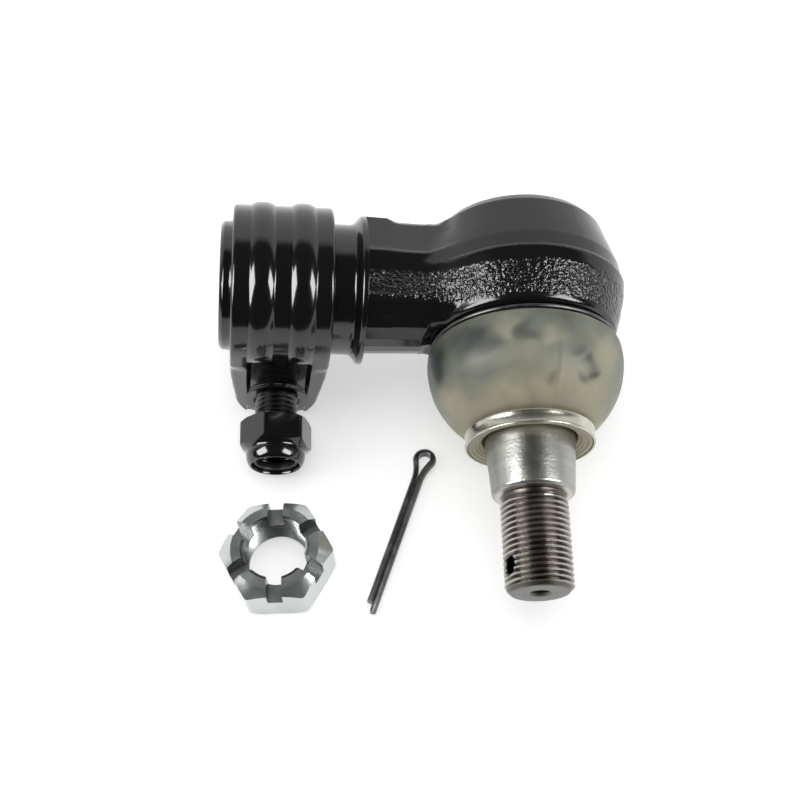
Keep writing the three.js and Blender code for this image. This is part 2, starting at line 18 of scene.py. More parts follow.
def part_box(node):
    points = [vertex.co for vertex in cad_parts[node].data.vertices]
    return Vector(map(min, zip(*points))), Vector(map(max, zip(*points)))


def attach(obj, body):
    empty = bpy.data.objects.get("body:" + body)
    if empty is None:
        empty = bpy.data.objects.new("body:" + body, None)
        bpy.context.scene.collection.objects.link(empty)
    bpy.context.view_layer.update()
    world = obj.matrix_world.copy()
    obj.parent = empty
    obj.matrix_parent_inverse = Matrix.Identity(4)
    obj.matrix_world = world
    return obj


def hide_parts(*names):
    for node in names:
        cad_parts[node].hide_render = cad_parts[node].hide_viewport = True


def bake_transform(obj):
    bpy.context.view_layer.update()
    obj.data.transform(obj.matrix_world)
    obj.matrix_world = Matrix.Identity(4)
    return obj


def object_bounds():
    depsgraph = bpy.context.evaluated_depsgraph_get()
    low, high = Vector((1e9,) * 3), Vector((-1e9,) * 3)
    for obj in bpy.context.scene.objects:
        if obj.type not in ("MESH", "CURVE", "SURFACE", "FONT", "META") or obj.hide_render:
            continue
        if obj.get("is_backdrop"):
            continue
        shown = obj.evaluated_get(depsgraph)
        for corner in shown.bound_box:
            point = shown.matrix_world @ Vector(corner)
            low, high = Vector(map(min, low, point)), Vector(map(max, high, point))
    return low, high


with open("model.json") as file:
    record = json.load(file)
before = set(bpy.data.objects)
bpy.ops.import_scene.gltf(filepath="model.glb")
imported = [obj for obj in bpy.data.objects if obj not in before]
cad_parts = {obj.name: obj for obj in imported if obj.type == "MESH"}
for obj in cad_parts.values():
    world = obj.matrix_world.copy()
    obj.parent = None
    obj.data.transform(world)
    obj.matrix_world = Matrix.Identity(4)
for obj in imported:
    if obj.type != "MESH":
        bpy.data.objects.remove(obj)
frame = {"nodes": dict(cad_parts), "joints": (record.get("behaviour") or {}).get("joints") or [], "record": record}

CAD_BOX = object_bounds()
MM = 0.001
print("frame box", [round(v, 4) for corner in CAD_BOX for v in corner])

# %% [markdown]
# ## The camera
# It looks down steeply, from the stud's side. It is placed first, because
# every later choice of detail is judged through it. A long lens keeps the
# perspective gentle, and depth of field stays off.

# %% Camera
camera_data = bpy.data.cameras.new("camera")
camera_data.sensor_width = 36
camera_data.lens = 59.66
camera = bpy.data.objects.new("camera", camera_data)
bpy.context.scene.collection.objects.link(camera)
camera.matrix_world = Matrix((
    (0.998945, 0.037404, 0.026663, -0.0328715),
    (-0.019535, 0.871285, -0.490388, -0.3014525),
    (-0.041573, 0.489349, 0.871096, 0.4094495),
    (0, 0, 0, 1)))
bpy.context.scene.camera = camera
print("camera stands", round(camera.location.length, 3), "m from the cover face")

# %% [markdown]
# ## Working frames
# A turned piece is easiest to draw as radius and distance along its axis. So
# each axis gets a frame whose local Z is that axis. They come from the
# record's mounts and joints, and a piece built in one needs no fitting.

# %% Frames from the record
mounts = {m["name"]: m for m in frame["record"]["mounts"]}
joints = {j["name"]: j for j in frame["joints"]}
BALL_CENTRE = Vector(joints["stud_swing"]["pos_m"])
TO_STUD = -Vector(mounts["cover_face"]["axis"]).normalized()
TO_TUBE = Vector(mounts["tube_end"]["axis"])
TO_TUBE = (TO_TUBE - TO_STUD * TO_TUBE.dot(TO_STUD)).normalized()
UP = TO_TUBE.cross(TO_STUD)


def frame_at(origin, along, side):
    """A frame whose local Z is along, and whose local X is side."""
    across = along.cross(side)
    return Matrix.Translation(origin) @ Matrix((side, across, along)).transposed().to_4x4()


def on_axis(joint):
    """The point on a joint's axis that is level with the ball's centre."""
    p = Vector(joints[joint]["pos_m"])
    return p - TO_STUD * (p - BALL_CENTRE).dot(TO_STUD)


BODY = frame_at(BALL_CENTRE, UP, -TO_TUBE)          # x from the tube, y to the cover, z up
STUD = frame_at(BALL_CENTRE, TO_STUD, TO_TUBE)
TUBE = frame_at(BALL_CENTRE, TO_TUBE, UP)
BOLT = frame_at(on_axis("clamp_nut_turn"), TO_STUD, UP)
GROUND = CAD_BOX[0].z
BOLT_AT = BODY.inverted() @ BOLT.translation / MM   # clamp bolt in the body frame
print("clamp bolt passes", [round(v, 1) for v in BOLT_AT], "mm from the ball's centre")

# %% [markdown]
# ## Mesh helpers
# Forged and turned parts have rounded corners everywhere, and those small
# roundings catch the light. `rounded` turns a list of corners into such an
# outline, and `turned` spins the outline about an axis. Edges sharper than
# the crease angle stay sharp, and the rest is shaded smooth.

# %% Building a mesh
def finish_mesh(mesh, crease=30, weld=True):
    """Welds the points, faces every face outwards and marks the sharp edges."""
    bm = bmesh.new()
    bm.from_mesh(mesh)
    if weld:
        bmesh.ops.remove_doubles(bm, verts=bm.verts, dist=3e-6)
        bmesh.ops.dissolve_degenerate(bm, dist=2e-6, edges=bm.edges)
    bmesh.ops.recalc_face_normals(bm, faces=bm.faces)
    limit = math.radians(crease)
    for face in bm.faces:
        face.smooth = True
    for edge in bm.edges:
        edge.smooth = not (edge.is_manifold and edge.calc_face_angle() > limit)
    bm.to_mesh(mesh)
    bm.free()


def new_piece(name, points, faces, place, crease=30):
    """A mesh object from points in millimetres, in the frame that place gives."""
    mesh = bpy.data.meshes.new(name)
    mesh.from_pydata((np.asarray(points, float) * MM).tolist(), [], faces)
    finish_mesh(mesh, crease)
    piece = bpy.data.objects.new(name, mesh)
    bpy.context.scene.collection.objects.link(piece)
    piece.matrix_world = place
    return piece


def sheet_faces(rows, columns, wrap=True):
    """Quads that join rows of points; wrap closes each row into a ring."""
    faces = []
    for j in range(rows - 1):
        for i in range(columns if wrap else columns - 1):
            k = (i + 1) % columns
            faces.append((j * columns + i, j * columns + k, (j + 1) * columns + k, (j + 1) * columns + i))
    return faces


# %% Outlines with rounded corners
def rounded(corners, closed=True, steps=4):
    """Corners are (radius, at) or (radius, at, reach); reach rounds that corner."""
    points = [np.array(c[:2], float) for c in corners]
    outline = []
    for i, corner in enumerate(corners):
        reach = corner[2] if len(corner) > 2 else 0
        if not reach or (not closed and i in (0, len(corners) - 1)):
            outline.append(tuple(points[i]))
            continue
        before, here, after = points[i - 1], points[i], points[(i + 1) % len(points)]
        to_before, to_after = before - here, after - here
        a, b = np.linalg.norm(to_before), np.linalg.norm(to_after)
        reach = min(reach, 0.49 * a, 0.49 * b)
        start, end = here + to_before / a * reach, here + to_after / b * reach
        for k in range(steps + 1):
            t = k / steps
            outline.append(tuple((1 - t) ** 2 * start + 2 * t * (1 - t) * here + t * t * end))
    return outline


def smooth_curve(points, steps=6):
    """A smooth curve through the points (Catmull-Rom)."""
    p = np.array([points[0]] + list(points) + [points[-1]], float)
    curve = []
    for i in range(1, len(p) - 2):
        for k in range(steps):
            t = k / steps
            curve.append(tuple(0.5 * (2 * p[i] + (p[i + 1] - p[i - 1]) * t
                                      + (2 * p[i - 1] - 5 * p[i] + 4 * p[i + 1] - p[i + 2]) * t ** 2
                                      + (3 * p[i] - p[i - 1] - 3 * p[i + 1] + p[i + 2]) * t ** 3)))
    return curve + [tuple(p[-2])]


# %% Turning, threads and hexagons
def hexagon_radius(angle, across, corner_break=0.985):
    """Distance from the axis to a hexagon's side, with its corners just broken."""
    from_flat = (angle + math.pi / 6) % (math.pi / 3) - math.pi / 6
    return np.minimum(across / 2 / np.cos(from_flat), across / math.sqrt(3) * corner_break)


def thread(crest, pitch, start, end, depth, ends, inside=False, backwards=False, steps=8):
    """Gives a function that draws rows along a real helix, so that the crests stay
    crisp. ends gives the (at, radius) pairs that the thread runs out into."""
    def rows_at(angle):
        turn = angle / (2 * math.pi)
        rows = []
        for j in range(int((end - start) / pitch * steps) + steps + 2):
            at = np.clip(start + (j / steps - 1 + turn) * pitch, start, end)
            phase = ((at - start) / pitch - turn) % 1
            groove = np.clip((1 - np.abs(2 * phase - 1)) * 1.3 - 0.15, 0, 1) * depth
            limit = np.interp(at, *zip(*ends))
            radius = np.maximum(crest + groove, limit) if inside else np.minimum(crest - groove, limit)
            rows.append((radius, at))
        return rows[::-1] if backwards else rows
    return rows_at


def turned(name, outline, place, sides=160, closed=True, crease=30):
    """Spins an outline about the frame's Z. An entry is (radius, at), or a
    function of the angles that gives one row, or a list of rows."""
    angle = np.linspace(0, 2 * math.pi, sides + 1)
    rows = []
    for entry in outline:
        if callable(entry):
            entry = entry(angle)
        rows += entry if isinstance(entry, list) else [entry]
    if closed:
        rows.append(rows[0])
    points = [np.stack([np.broadcast_to(r, angle.shape) * np.cos(angle),
                        np.broadcast_to(r, angle.shape) * np.sin(angle),
                        np.broadcast_to(at, angle.shape)], axis=1) for r, at in rows]
    return new_piece(name, np.concatenate(points), sheet_faces(len(rows), sides + 1, wrap=False), place,
                     crease)


# %% Cutting one solid with another
def apply_modifiers(piece):
    """Makes the modifiers' result the piece's own mesh."""
    bpy.context.view_layer.update()
    result = piece.evaluated_get(bpy.context.evaluated_depsgraph_get())
    mesh = bpy.data.meshes.new_from_object(result)
    piece.modifiers.clear()
    piece.data = mesh


def carve(piece, tools, how="DIFFERENCE", crease=30, weld=True):
    """Cuts the tools away from a piece, or joins them to it, and removes them."""
    for tool in tools:
        cut = piece.modifiers.new("cut", "BOOLEAN")
        cut.operation, cut.solver, cut.object = how, "MANIFOLD", tool
    apply_modifiers(piece)
    for tool in tools:
        bpy.data.objects.remove(tool)
    finish_mesh(piece.data, crease, weld)


def coordinates(mesh):
    """All points of a mesh as an array, in millimetres."""
    flat = np.empty(len(mesh.vertices) * 3)
    mesh.vertices.foreach_get("co", flat)
    return flat.reshape(-1, 3) / MM


def set_coordinates(mesh, points):
    mesh.vertices.foreach_set("co", (np.asarray(points) * MM).ravel())
    mesh.update()


def store(mesh, name, values):
    """Keeps one number for each point, for a material to read."""
    layer = mesh.attributes.get(name) or mesh.attributes.new(name, "FLOAT", "POINT")
    layer.data.foreach_set("value", np.asarray(values, np.float32))


def settle(piece):
    """Turns the mesh itself into the frame's own axes, so that its box is tight."""
    piece.data.transform(piece.matrix_world)
    piece.matrix_world = Matrix.Identity(4)


def smooth_min(a, b, reach):
    """The smaller of two distances, with a fillet of about that reach."""
    blend = np.clip(reach - np.abs(a - b), 0, None) / reach
    return np.minimum(a, b) - blend ** 2 * reach / 4


def smooth_step(value, low, high):
    t = np.clip((value - low) / (high - low), 0, 1)
    return t * t * (3 - 2 * t)


print("helpers ready")

# %% [markdown]
# ## The forging
# Ball end, neck and flange are one forging, so they flow into each other with
# fillets. Each simple shape is written as a distance field: for any point, how
# far the surface is. A smooth minimum of the fields gives the fillets. The
# mesh comes from a voxel remesh of a rough solid, and every point is then
# moved onto the exact field, which keeps it both even and accurate.

# %% Distance fields
BALL_END = [(-10, -25.3), (29.2, -25.3), (31.6, -22.3), (36.7, -6.0), (37.35, -0.4), (37.9, 0.0),
            (37.75, 1.2), (37.2, 4.6), (35.2, 12.0), (34.3, 15.0), (33.3, 18.2), (32.4, 19.0),
            (29.7, 19.6), (29.7, 23.2), (32.6, 23.5), (32.6, 24.1), (-10, 24.1)]
BALL_SKIN = 0.5                         # rounding that is added round that outline
NECK_SECTION = [(23.9, 0), (23.2, 6.0), (20.9, 11.6), (6.2, 17.6), (5.0, 18.4), (-11.6, 18.0),
                (-13.4, 17.0), (-19.0, 9.5), (-20.5, 4.6), (-21.0, 0)]
NECK_SECTION += [(y, -z) for y, z in NECK_SECTION[-2:0:-1]]
NECK_SKIN = 1.2
NECK_GROWTH = ([18, 28, 33, 38, 60], [1.14, 1.11, 1.05, 1.0, 1.03])
NECK_BACK = ([18, 33, 38, 46, 50.5, 60], [0.88, 0.955, 1.0, 1.0, 1.062, 1.062])   # cover side only
FORGED_END = 59.6
BOOT_ROOM_R, BOOT_ROOM_FROM = 37.1, 19.9


def outline_distance(u, v, corners):
    """Distance to a closed outline in a plane, negative inside it."""
    nearest, inside = np.full(u.shape, 1e9), np.zeros(u.shape, bool)
    for (au, av), (bu, bv) in zip(corners, corners[1:] + corners[:1]):
        eu, ev = bu - au, bv - av
        t = np.clip(((u - au) * eu + (v - av) * ev) / (eu * eu + ev * ev), 0, 1)
        nearest = np.minimum(nearest, (u - au - t * eu) ** 2 + (v - av - t * ev) ** 2)
        crosses = ((av > v) != (bv > v)) & (u < eu * (v - av) / (ev if ev else 1e-9) + au)
        inside ^= crosses
    return np.where(inside, -1, 1) * np.sqrt(nearest)


def forging_distance(p):
    """Distance from points (in the body frame) to the forging's skin."""
    along, at, z = -p[:, 0], -p[:, 1], p[:, 2]
    from_stud = np.hypot(p[:, 0], z)
    ball_end = outline_distance(from_stud, at, BALL_END) - BALL_SKIN
    grow = np.interp(along, *NECK_GROWTH)
    back = np.where(at < 0, np.interp(along, *NECK_BACK), 1)
    neck = outline_distance(-at / grow / back, z / grow, NECK_SECTION) * grow - NECK_SKIN
    neck = np.maximum(neck, np.maximum(along - FORGED_END - 0.6, 8 - along))
    room = np.maximum(from_stud - BOOT_ROOM_R - 0.07 * (at - BOOT_ROOM_FROM), BOOT_ROOM_FROM - at)
    neck = -smooth_min(-neck, room, 1.4)
    return smooth_min(ball_end, neck, np.interp(at, [-16, -2, 8, 17], [3, 7, 7, 1.5]))


# %% Rough solid, remesh, and projection onto the field
def forging_blank():
    """Two overlapping solids, joined, that fill the forging roughly."""
    ball = turned("blank", [(max(r, 0), at) for r, at in BALL_END], STUD, 96, closed=False)
    neck = turned("blank_neck", [(0, 5), (22, 5), (22, 49), (26.6, 51), (26.6, 61), (0, 61)], TUBE, 96,
                  closed=False)
    for piece in (ball, neck):
        piece.data.transform(BODY.inverted() @ piece.matrix_world)
        piece.matrix_world = Matrix.Identity(4)
        piece.data.transform(Matrix.Scale(1 / MM, 4))
    carve(ball, [neck], "UNION")
    return ball


SKIN_VOXEL = 0.5
forging = forging_blank()
remesh = forging.modifiers.new("even quads", "REMESH")
remesh.mode, remesh.voxel_size = "VOXEL", SKIN_VOXEL
apply_modifiers(forging)
skin = coordinates(forging.data) * MM      # this mesh is in millimetres, for the remesh
for _ in range(6):
    here = forging_distance(skin)
    slope = np.stack([(forging_distance(skin + step) - here) / 0.02 for step in np.eye(3) * 0.02], axis=1)
    skin = skin - slope * (here / np.maximum((slope ** 2).sum(1), 0.2))[:, None]
print("forging skin", len(skin), "points, worst miss", round(float(np.abs(forging_distance(skin)).max()), 3),
      "mm")

# %% [markdown]
# Real forgings are never perfectly even. A slow wave of a few hundredths of a
# millimetre breaks up the long reflections, and a coarser texture sits on the
# band that the dies close on, where the skin is left as forged.

# %% Unevenness of the forged skin
def waves(points, length, count, seed):
    """A smooth random field: a sum of plane waves of about that length."""
    random = np.random.RandomState(seed)
    total = np.zeros(len(points))
    for _ in range(count):
        direction = random.normal(size=3)
        direction *= 2 * math.pi / (length * random.uniform(0.7, 1.4) * np.linalg.norm(direction))
        total += np.sin(points @ direction + random.uniform(0, 2 * math.pi))
    return total / math.sqrt(count)


def rough_band(p):
    """1 on the as-forged band round the ball end and neck, 0 on the smooth skin."""
    at, along = -p[:, 1], -p[:, 0]
    top = np.interp(along, [20, 40], [4.2, 1.6])
    foot = np.interp(along, [20, 40], [17.6, 13.2])
    upright = np.abs(p[:, 2]) > np.interp(along, [30, 42], [-1, 8])
    return smooth_step(at, top, top + 1.6) * smooth_step(-at, -foot, -foot + 1.6) * upright


slope /= np.linalg.norm(slope, axis=1)[:, None]
band = rough_band(skin)
uneven = 0.035 * waves(skin, 14, 24, 3) + (0.006 + 0.03 * band) * waves(skin, 2.6, 40, 5)
clear_of_seats = smooth_step(skin[:, 1], -18.2, -17.0) * smooth_step(-skin[:, 1], -24.5, -22)
skin = skin + slope * (uneven * clear_of_seats)[:, None]
forging.name = "housing_forging"
set_coordinates(forging.data, skin)
forging.matrix_world = BODY
finish_mesh(forging.data, 38, weld=False)

# %% [markdown]
# ## The tube
# The tube is turned on a lathe, so its corners are crisp. It has a collar
# beside the clamp, an inside thread for the steering tube and a lengthwise
# slot that lets the clamp close it. The thread is cut with a threaded plug.
# The forging is joined to it unwelded: on its sharp end the points lie so
# close that a weld would open the skin, and an open skin can't be joined.

# %% Tube, bore, thread and slot
TUBE_END, TUBE_R, FLANGE_R = 110.5, 23.75, 27.0
CREST_FROM, CREST_TO, SLOPE_FOOT = 58.9, 60.6, 63.2
tube = turned("tube", rounded([(0, CREST_FROM), (FLANGE_R, CREST_FROM, 0.15), (FLANGE_R, CREST_TO, 0.6),
                               (TUBE_R, SLOPE_FOOT, 1.3), (TUBE_R, TUBE_END - 4.3, 0.4),
                               (TUBE_R - 0.45, TUBE_END - 3.2, 0.4),
                               (TUBE_R - 0.45, TUBE_END - 1.3, 0.4), (TUBE_R - 1.6, TUBE_END, 0.4),
                               (0, TUBE_END)],
                              closed=False), TUBE, closed=False)
BORE_R, BORE_END = 17.2, TUBE_END - 52
tube_thread = thread(BORE_R, 1.5, BORE_END, TUBE_END, 0.85,
                     [(BORE_END, BORE_R + 0.9), (BORE_END + 2, BORE_R - 1), (TUBE_END - 2.2, BORE_R - 1),
                      (TUBE_END, BORE_R + 1.6)], inside=True)
plug = turned("plug", [(0, BORE_END - 6), (BORE_R - 1, BORE_END - 0.5), tube_thread,
                       (BORE_R + 1.6, TUBE_END + 3),
                       (0, TUBE_END + 3)], TUBE, 96, closed=False)
hollow = turned("hollow", [(0, -30), (25, -30), (25, -26.5), (27.2, -25.8), (27.2, -21.9), (26, -21.9),
                           (26, 4.2),
                           (21.6, 10.6), (18.2, 11.2), (18.6, 13.2), (23.2, 24.61), (23.2, 27), (0, 27)],
                STUD, 96, closed=False)


def slot_cutter():
    """A slot with a round end along the side of the tube that faces the clamp's bolt."""
    half, end, start = 2.0, TUBE_END - 45.5, TUBE_END + 3
    outline = [(-start, -half), (-end, -half)]
    outline += [(-end + 2.6 * math.sin(a), -2.6 * math.cos(a)) for a in np.linspace(0.7, math.pi - 0.7, 12)]
    outline += [(-end, half), (-start, half)]
    n = len(outline)
    points = [(x, y, z) for z in (-34, -8) for x, y in outline]
    faces = [tuple(range(n)), tuple(range(2 * n - 1, n - 1, -1))] + sheet_faces(2, n)
    return new_piece("slot", points, faces, BODY)


carve(forging, [tube], "UNION", 38, weld=False)
carve(forging, [hollow, plug, slot_cutter()], crease=38)
housing = forging
points = coordinates(housing.data)
store(housing.data, "as_forged", rough_band(points) * (points[:, 0] > -CREST_FROM - 0.02))
on_lathe = np.array([face.center.x for face in housing.data.polygons]) / MM < -CREST_FROM
settle(housing)
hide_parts("housing")
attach(housing, "housing")
print("housing has", len(housing.data.polygons), "faces")

# %% [markdown]
# ## Cover side
# A pressed disc closes the joint from behind, and the rim of the forging is
# rolled over it. The disc is drawn with the shallow steps that the press
# leaves. The seal, springs, plate and bearing shells behind it keep their
# frame shapes, because only a cut through the joint would show them.

# %% Cover plate
cover = turned("cover_plate", rounded([
    (0, -27.4), (6.2, -27.4, 0.8), (7.0, -26.9, 0.8), (10.4, -26.9, 0.8), (11.2, -27.4, 0.8),
    (15.0, -27.4, 0.7),
    (16.4, -26.4, 0.8), (24.6, -26.35, 0.3), (26.6, -25.1, 0.4), (26.6, -24.3), (24.6, -24.3), (24.6, -22.25),
    (0, -22.25)], closed=False), STUD, closed=False)
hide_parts("cover_plate")
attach(cover, "housing")
print("cover plate", len(cover.data.polygons), "faces")

# %% [markdown]
# ## The ball stud
# One turned steel piece: ball, neck, taper and thread. The thread is a true
# helix of 2 mm pitch with worn crests. A hole across it takes the split pin,
# and a centre hole in its end face is left from turning.

# %% Ball stud
BALL_R, STUD_END, THREAD_R, THREAD_ROOT = 20.5, 113.5, 12.0, 10.85
stud_thread = thread(THREAD_R, 2.0, 80.6, 113.2, THREAD_R - THREAD_ROOT,
                     [(80.6, THREAD_ROOT), (82.2, THREAD_R), (111.6, THREAD_R), (113.2, 10.2)])
arc_angles = np.linspace(math.acos(-0.84), math.asin(12.4 / BALL_R), 36)
ball_arc = [(BALL_R * math.sin(a), BALL_R * math.cos(a)) for a in arc_angles]
neck_to_taper = rounded([(12.4, 18.4), (12.4, 45.2, 3), (16.2, 54.2, 1.2), (16.2, 57.0), (14.6, 77.9, 0.5),
                         (13.9, 78.8, 0.4), (10.95, 79.2, 0.5), (THREAD_ROOT, 80.6)], closed=False)
end_face = rounded([(10.2, 113.2), (9.9, STUD_END, 0.25), (4.0, STUD_END, 0.3), (3.1, 112.6), (3.1, 110.2),
                    (0, 108.6)],
                   closed=False)
stud = turned("ball_stud", [(0, -17.22)] + ball_arc + neck_to_taper + [stud_thread] + end_face, STUD, 144,
              closed=False)


def rod(name, radius, a, b, place, sides=40, end_radius=None):
    """A closed cylinder or cone between two points of a frame, used as a cutter."""
    a, b = Vector(a), Vector(b)
    spin = (b - a).to_track_quat("Z", "Y").to_matrix()
    ring = [spin @ Vector((math.cos(t), math.sin(t), 0)) for t in np.arange(sides) * 2 * math.pi / sides]
    points = [p + r * size for p, size in ((a, radius), (b, end_radius or radius)) for r in ring]
    faces = [tuple(range(sides)), tuple(range(2 * sides - 1, sides - 1, -1))] + sheet_faces(2, sides)
    return new_piece(name, points, faces, place)


PIN_HOLE_AT, PIN_HOLE_R, PIN_HOLE_TURN = 104.6, 3.15, math.radians(17)
reach = Vector((math.cos(PIN_HOLE_TURN), -math.sin(PIN_HOLE_TURN), 0)) * 20
middle = Vector((0, 0, PIN_HOLE_AT))
sink = reach.normalized() * (THREAD_R - 1.3)
carve(stud, [rod("pin_hole", PIN_HOLE_R, middle - reach, middle + reach, STUD)]
      + [rod("countersink", PIN_HOLE_R, middle + sink * way, middle + sink * way * 1.4, STUD, 40,
             7.0) for way in (1, -1)])
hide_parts("ball_stud")
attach(stud, "ball_stud")
print("ball stud", len(stud.data.polygons), "faces")

# %% [markdown]
# ## Dust boot, its ring and its collar
# The boot is moulded polyurethane, a bulging cup with a thick bead in the
# housing's groove and a lip that wipes the stud. Two faint mould seams run
# down its sides. It is a spun shell with real wall thickness, because its
# material lets light through.

# %% Dust boot
boot_outside = smooth_curve([(32.3, 20.3), (32.4, 22.2), (33.5, 22.9), (34.5, 23.6), (35.1, 25.4),
                             (35.45, 29), (35.3, 32),
                             (34.9, 35), (34.2, 38), (33.1, 41.2), (31.4, 44.6), (29.2, 48), (26.6, 51),
                             (24.0, 53.2),
                             (21.75, 54.5)], 4)
boot_lip = rounded([(21.7, 54.8), (22.2, 55.2, 0.3), (22.2, 59.9, 0.4), (20.8, 60.15, 0.3), (20.3, 59.4, 0.3),
                    (19.5, 59.7, 0.3),
                    (19.1, 58.9, 0.3), (18.4, 59.2, 0.3), (18.0, 58.3, 0.3), (17.4, 58.5, 0.3),
                    (16.9, 57.7, 0.3),
                    (16.9, 56.6, 0.3), (18.6, 55.4, 0.8)], closed=False)
boot_inside = smooth_curve([(19.3, 54.9), (22.4, 52.2), (25.6, 49.0), (28.4, 45.2), (31.2, 38.2),
                            (32.6, 31.5), (32.9, 27.4),
                            (33.5, 25.6)], 4) + [(33.5, 24.8), (33.5, 22.7), (30.5, 22.4), (30.5, 20.4)]
boot = turned("dust_boot", boot_outside + boot_lip + boot_inside, STUD, 300)
points = coordinates(boot.data)
turn = np.arctan2(points[:, 1], points[:, 0])
seam = np.zeros(len(points))
for seam_at in (math.radians(261), math.radians(81)):
    away = np.angle(np.exp(1j * (turn - seam_at))) * 35
    seam = np.maximum(seam, np.exp(-(away / 0.6) ** 2))
inside_r = np.interp(points[:, 2], [20, 24, 30, 41, 48, 54], [40, 34, 34.4, 32, 28, 21.6])
outer = np.hypot(points[:, 0], points[:, 1]) > inside_r
seam *= outer * smooth_step(points[:, 2], 24, 26) * smooth_step(-points[:, 2], -53, -50)
outward = points * [1, 1, 0] / np.hypot(points[:, 0], points[:, 1])[:, None]
set_coordinates(boot.data, points + outward * (seam * 0.3)[:, None])
# patches painted into the boot's colour: dark ones partly grease and partly painted shade of the parts inside,
# light ones painted light from the lit stud and its reflections: (angle, height, reach round, reach along, amount)
GREASE_AND_SHADE_SPOTS = [(309, 32.5, 8, 5, 0.85), (318, 29, 8, 3, 0.5), (345, 34, 6, 7, 1.0), (312, 42, 8, 3, 0.35),
        (283, 32, 5, 3, 0.6),
        (252, 38, 2.5, 1.6, 0.6), (243, 40, 2, 2, 0.7), (239, 43, 1.8, 2.4, 0.8), (243, 46, 2.6, 1.4, 0.6),
        (264, 46.5, 2, 2.5, 0.45), (80, 34, 9, 6, 0.7), (140, 40, 8, 4, 0.5), (190, 33, 7, 5, 0.6)]
PAINTED_LIGHT_SPOTS = [(294, 31.5, 3.6, 4.5, 0.75), (288, 38, 7, 3.5, 0.3), (266, 33.5, 5, 3.2, 0.45),
         (291, 50.5, 5, 3.6, 0.8),
         (270, 50.5, 5, 3.6, 0.6), (345, 46, 7, 5, 0.7), (229, 36, 7, 8, 0.55), (300, 52, 12, 2.5, 0.4),
         (235, 50, 9, 4, 0.6),
         (40, 44, 9, 6, 0.5), (110, 47, 9, 5, 0.6), (165, 46, 8, 6, 0.5)]
wander = points + 1.2 * np.stack([waves(points, 9, 16, seed) for seed in (21, 22, 23)], axis=1)
turned_to = np.arctan2(wander[:, 1], wander[:, 0])
# these masks carry painted shade and painted light into the boot's colour
for name, blots in (("grease_and_painted_shade", GREASE_AND_SHADE_SPOTS), ("painted_light_patches", PAINTED_LIGHT_SPOTS)):
    total = np.zeros(len(points))
    for angle, at, wide, high, amount in blots:
        round_way = np.angle(np.exp(1j * (turned_to - math.radians(angle)))) * 33
        apart = (np.abs(round_way) / wide) ** 2.6 + (np.abs(wander[:, 2] - at) / high) ** 2.6
        total = np.maximum(total, amount * np.exp(-apart))
    store(boot.data, name, total)
rest = boot.data.attributes.new("rest_place", "FLOAT_VECTOR", "POINT")
rest.data.foreach_set("vector", (points * MM).astype(np.float32).ravel())


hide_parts("dust_boot")
print("dust boot", len(boot.data.polygons), "faces")

# %% Clip ring and collar
CLIP_R, CLIP_AT, CLIP_WIRE = 33.15, 21.4, 0.72
clip = turned("boot_clip_ring", [(CLIP_R + CLIP_WIRE * math.cos(a), CLIP_AT + CLIP_WIRE * math.sin(a))
                                 for a in np.arange(16) * math.pi / 8], STUD, 160)
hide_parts("boot_clip_ring")
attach(clip, "housing")
collar = turned("boot_collar", rounded([
    (22.25, 54.9), (22.8, 54.9, 0.4), (23.1, 55.6, 0.5), (22.75, 57.3, 0.8), (22.9, 59.4, 0.6),
    (23.2, 59.9, 0.3),
    (23.0, 60.3, 0.25), (22.3, 60.3, 0.2)]), STUD, 160)
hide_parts("boot_collar")
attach(collar, "boot_collar")
print("clip ring and collar made")

# %% [markdown]
# ## The clamp
# The clamp is pressed from thick strip: an arch over the tube with two ribs
# that stiffen it, and two ears with a sunk panel and a raised ring round the
# bolt hole. It is drawn as one strip section carried along the arch, with
# its width, ribs and panels changing on the way.

# %% Clamp section
CLAMP_AT, CLAMP_HALF, BAND_R, BAND_THICK = 88.5, 17.8, 24.05, 5.3
EAR_DROP, EAR_R, RIB_PITCH, RIB_HALF, RIB_RISE = 35.0, 15.0, 14.4, 4.4, 1.3
PANEL_HALF, RING_R, BOLT_HOLE_R = 11.6, 12.0, 8.8
EAR_ANGLES = np.linspace(math.pi / 2, 0, 24)
EAR_ROWS = [(-EAR_DROP - EAR_R * math.sin(a), 15.6 * math.cos(a) ** 0.8) for a in EAR_ANGLES]
EAR_ROWS += [(z, np.interp(z, [-35, -28, -18, -6, 0], [15.6, 16.5, 17.5, 17.8, 17.8]))
             for z in np.arange(-34.4, 0, 0.6)]


def clamp_height(x, z):
    """Height of the outer face over the inner one, at x across the strip."""
    ribs = np.zeros_like(x)
    for centre in (-RIB_PITCH / 2, RIB_PITCH / 2):
        dome = RIB_RISE * (1 - np.abs((x - centre) / RIB_HALF) ** 2.6)
        ribs += -smooth_min(-dome, np.zeros_like(x), 0.25)
    height = BAND_THICK + ribs * smooth_step(z, -5.0, 3.0)
    ear = smooth_step(-z, 6, 12)
    from_bolt = np.hypot(x, z + EAR_DROP)
    panel = smooth_step(PANEL_HALF - np.abs(x), 0, 1.6) * smooth_step(-z, 2.0, 4.5)
    panel *= smooth_step(from_bolt, RING_R, RING_R + 1.6)
    side = np.clip(np.abs(x) - PANEL_HALF, 0, None)
    return height - 1.2 * panel - ear * 0.22 * side


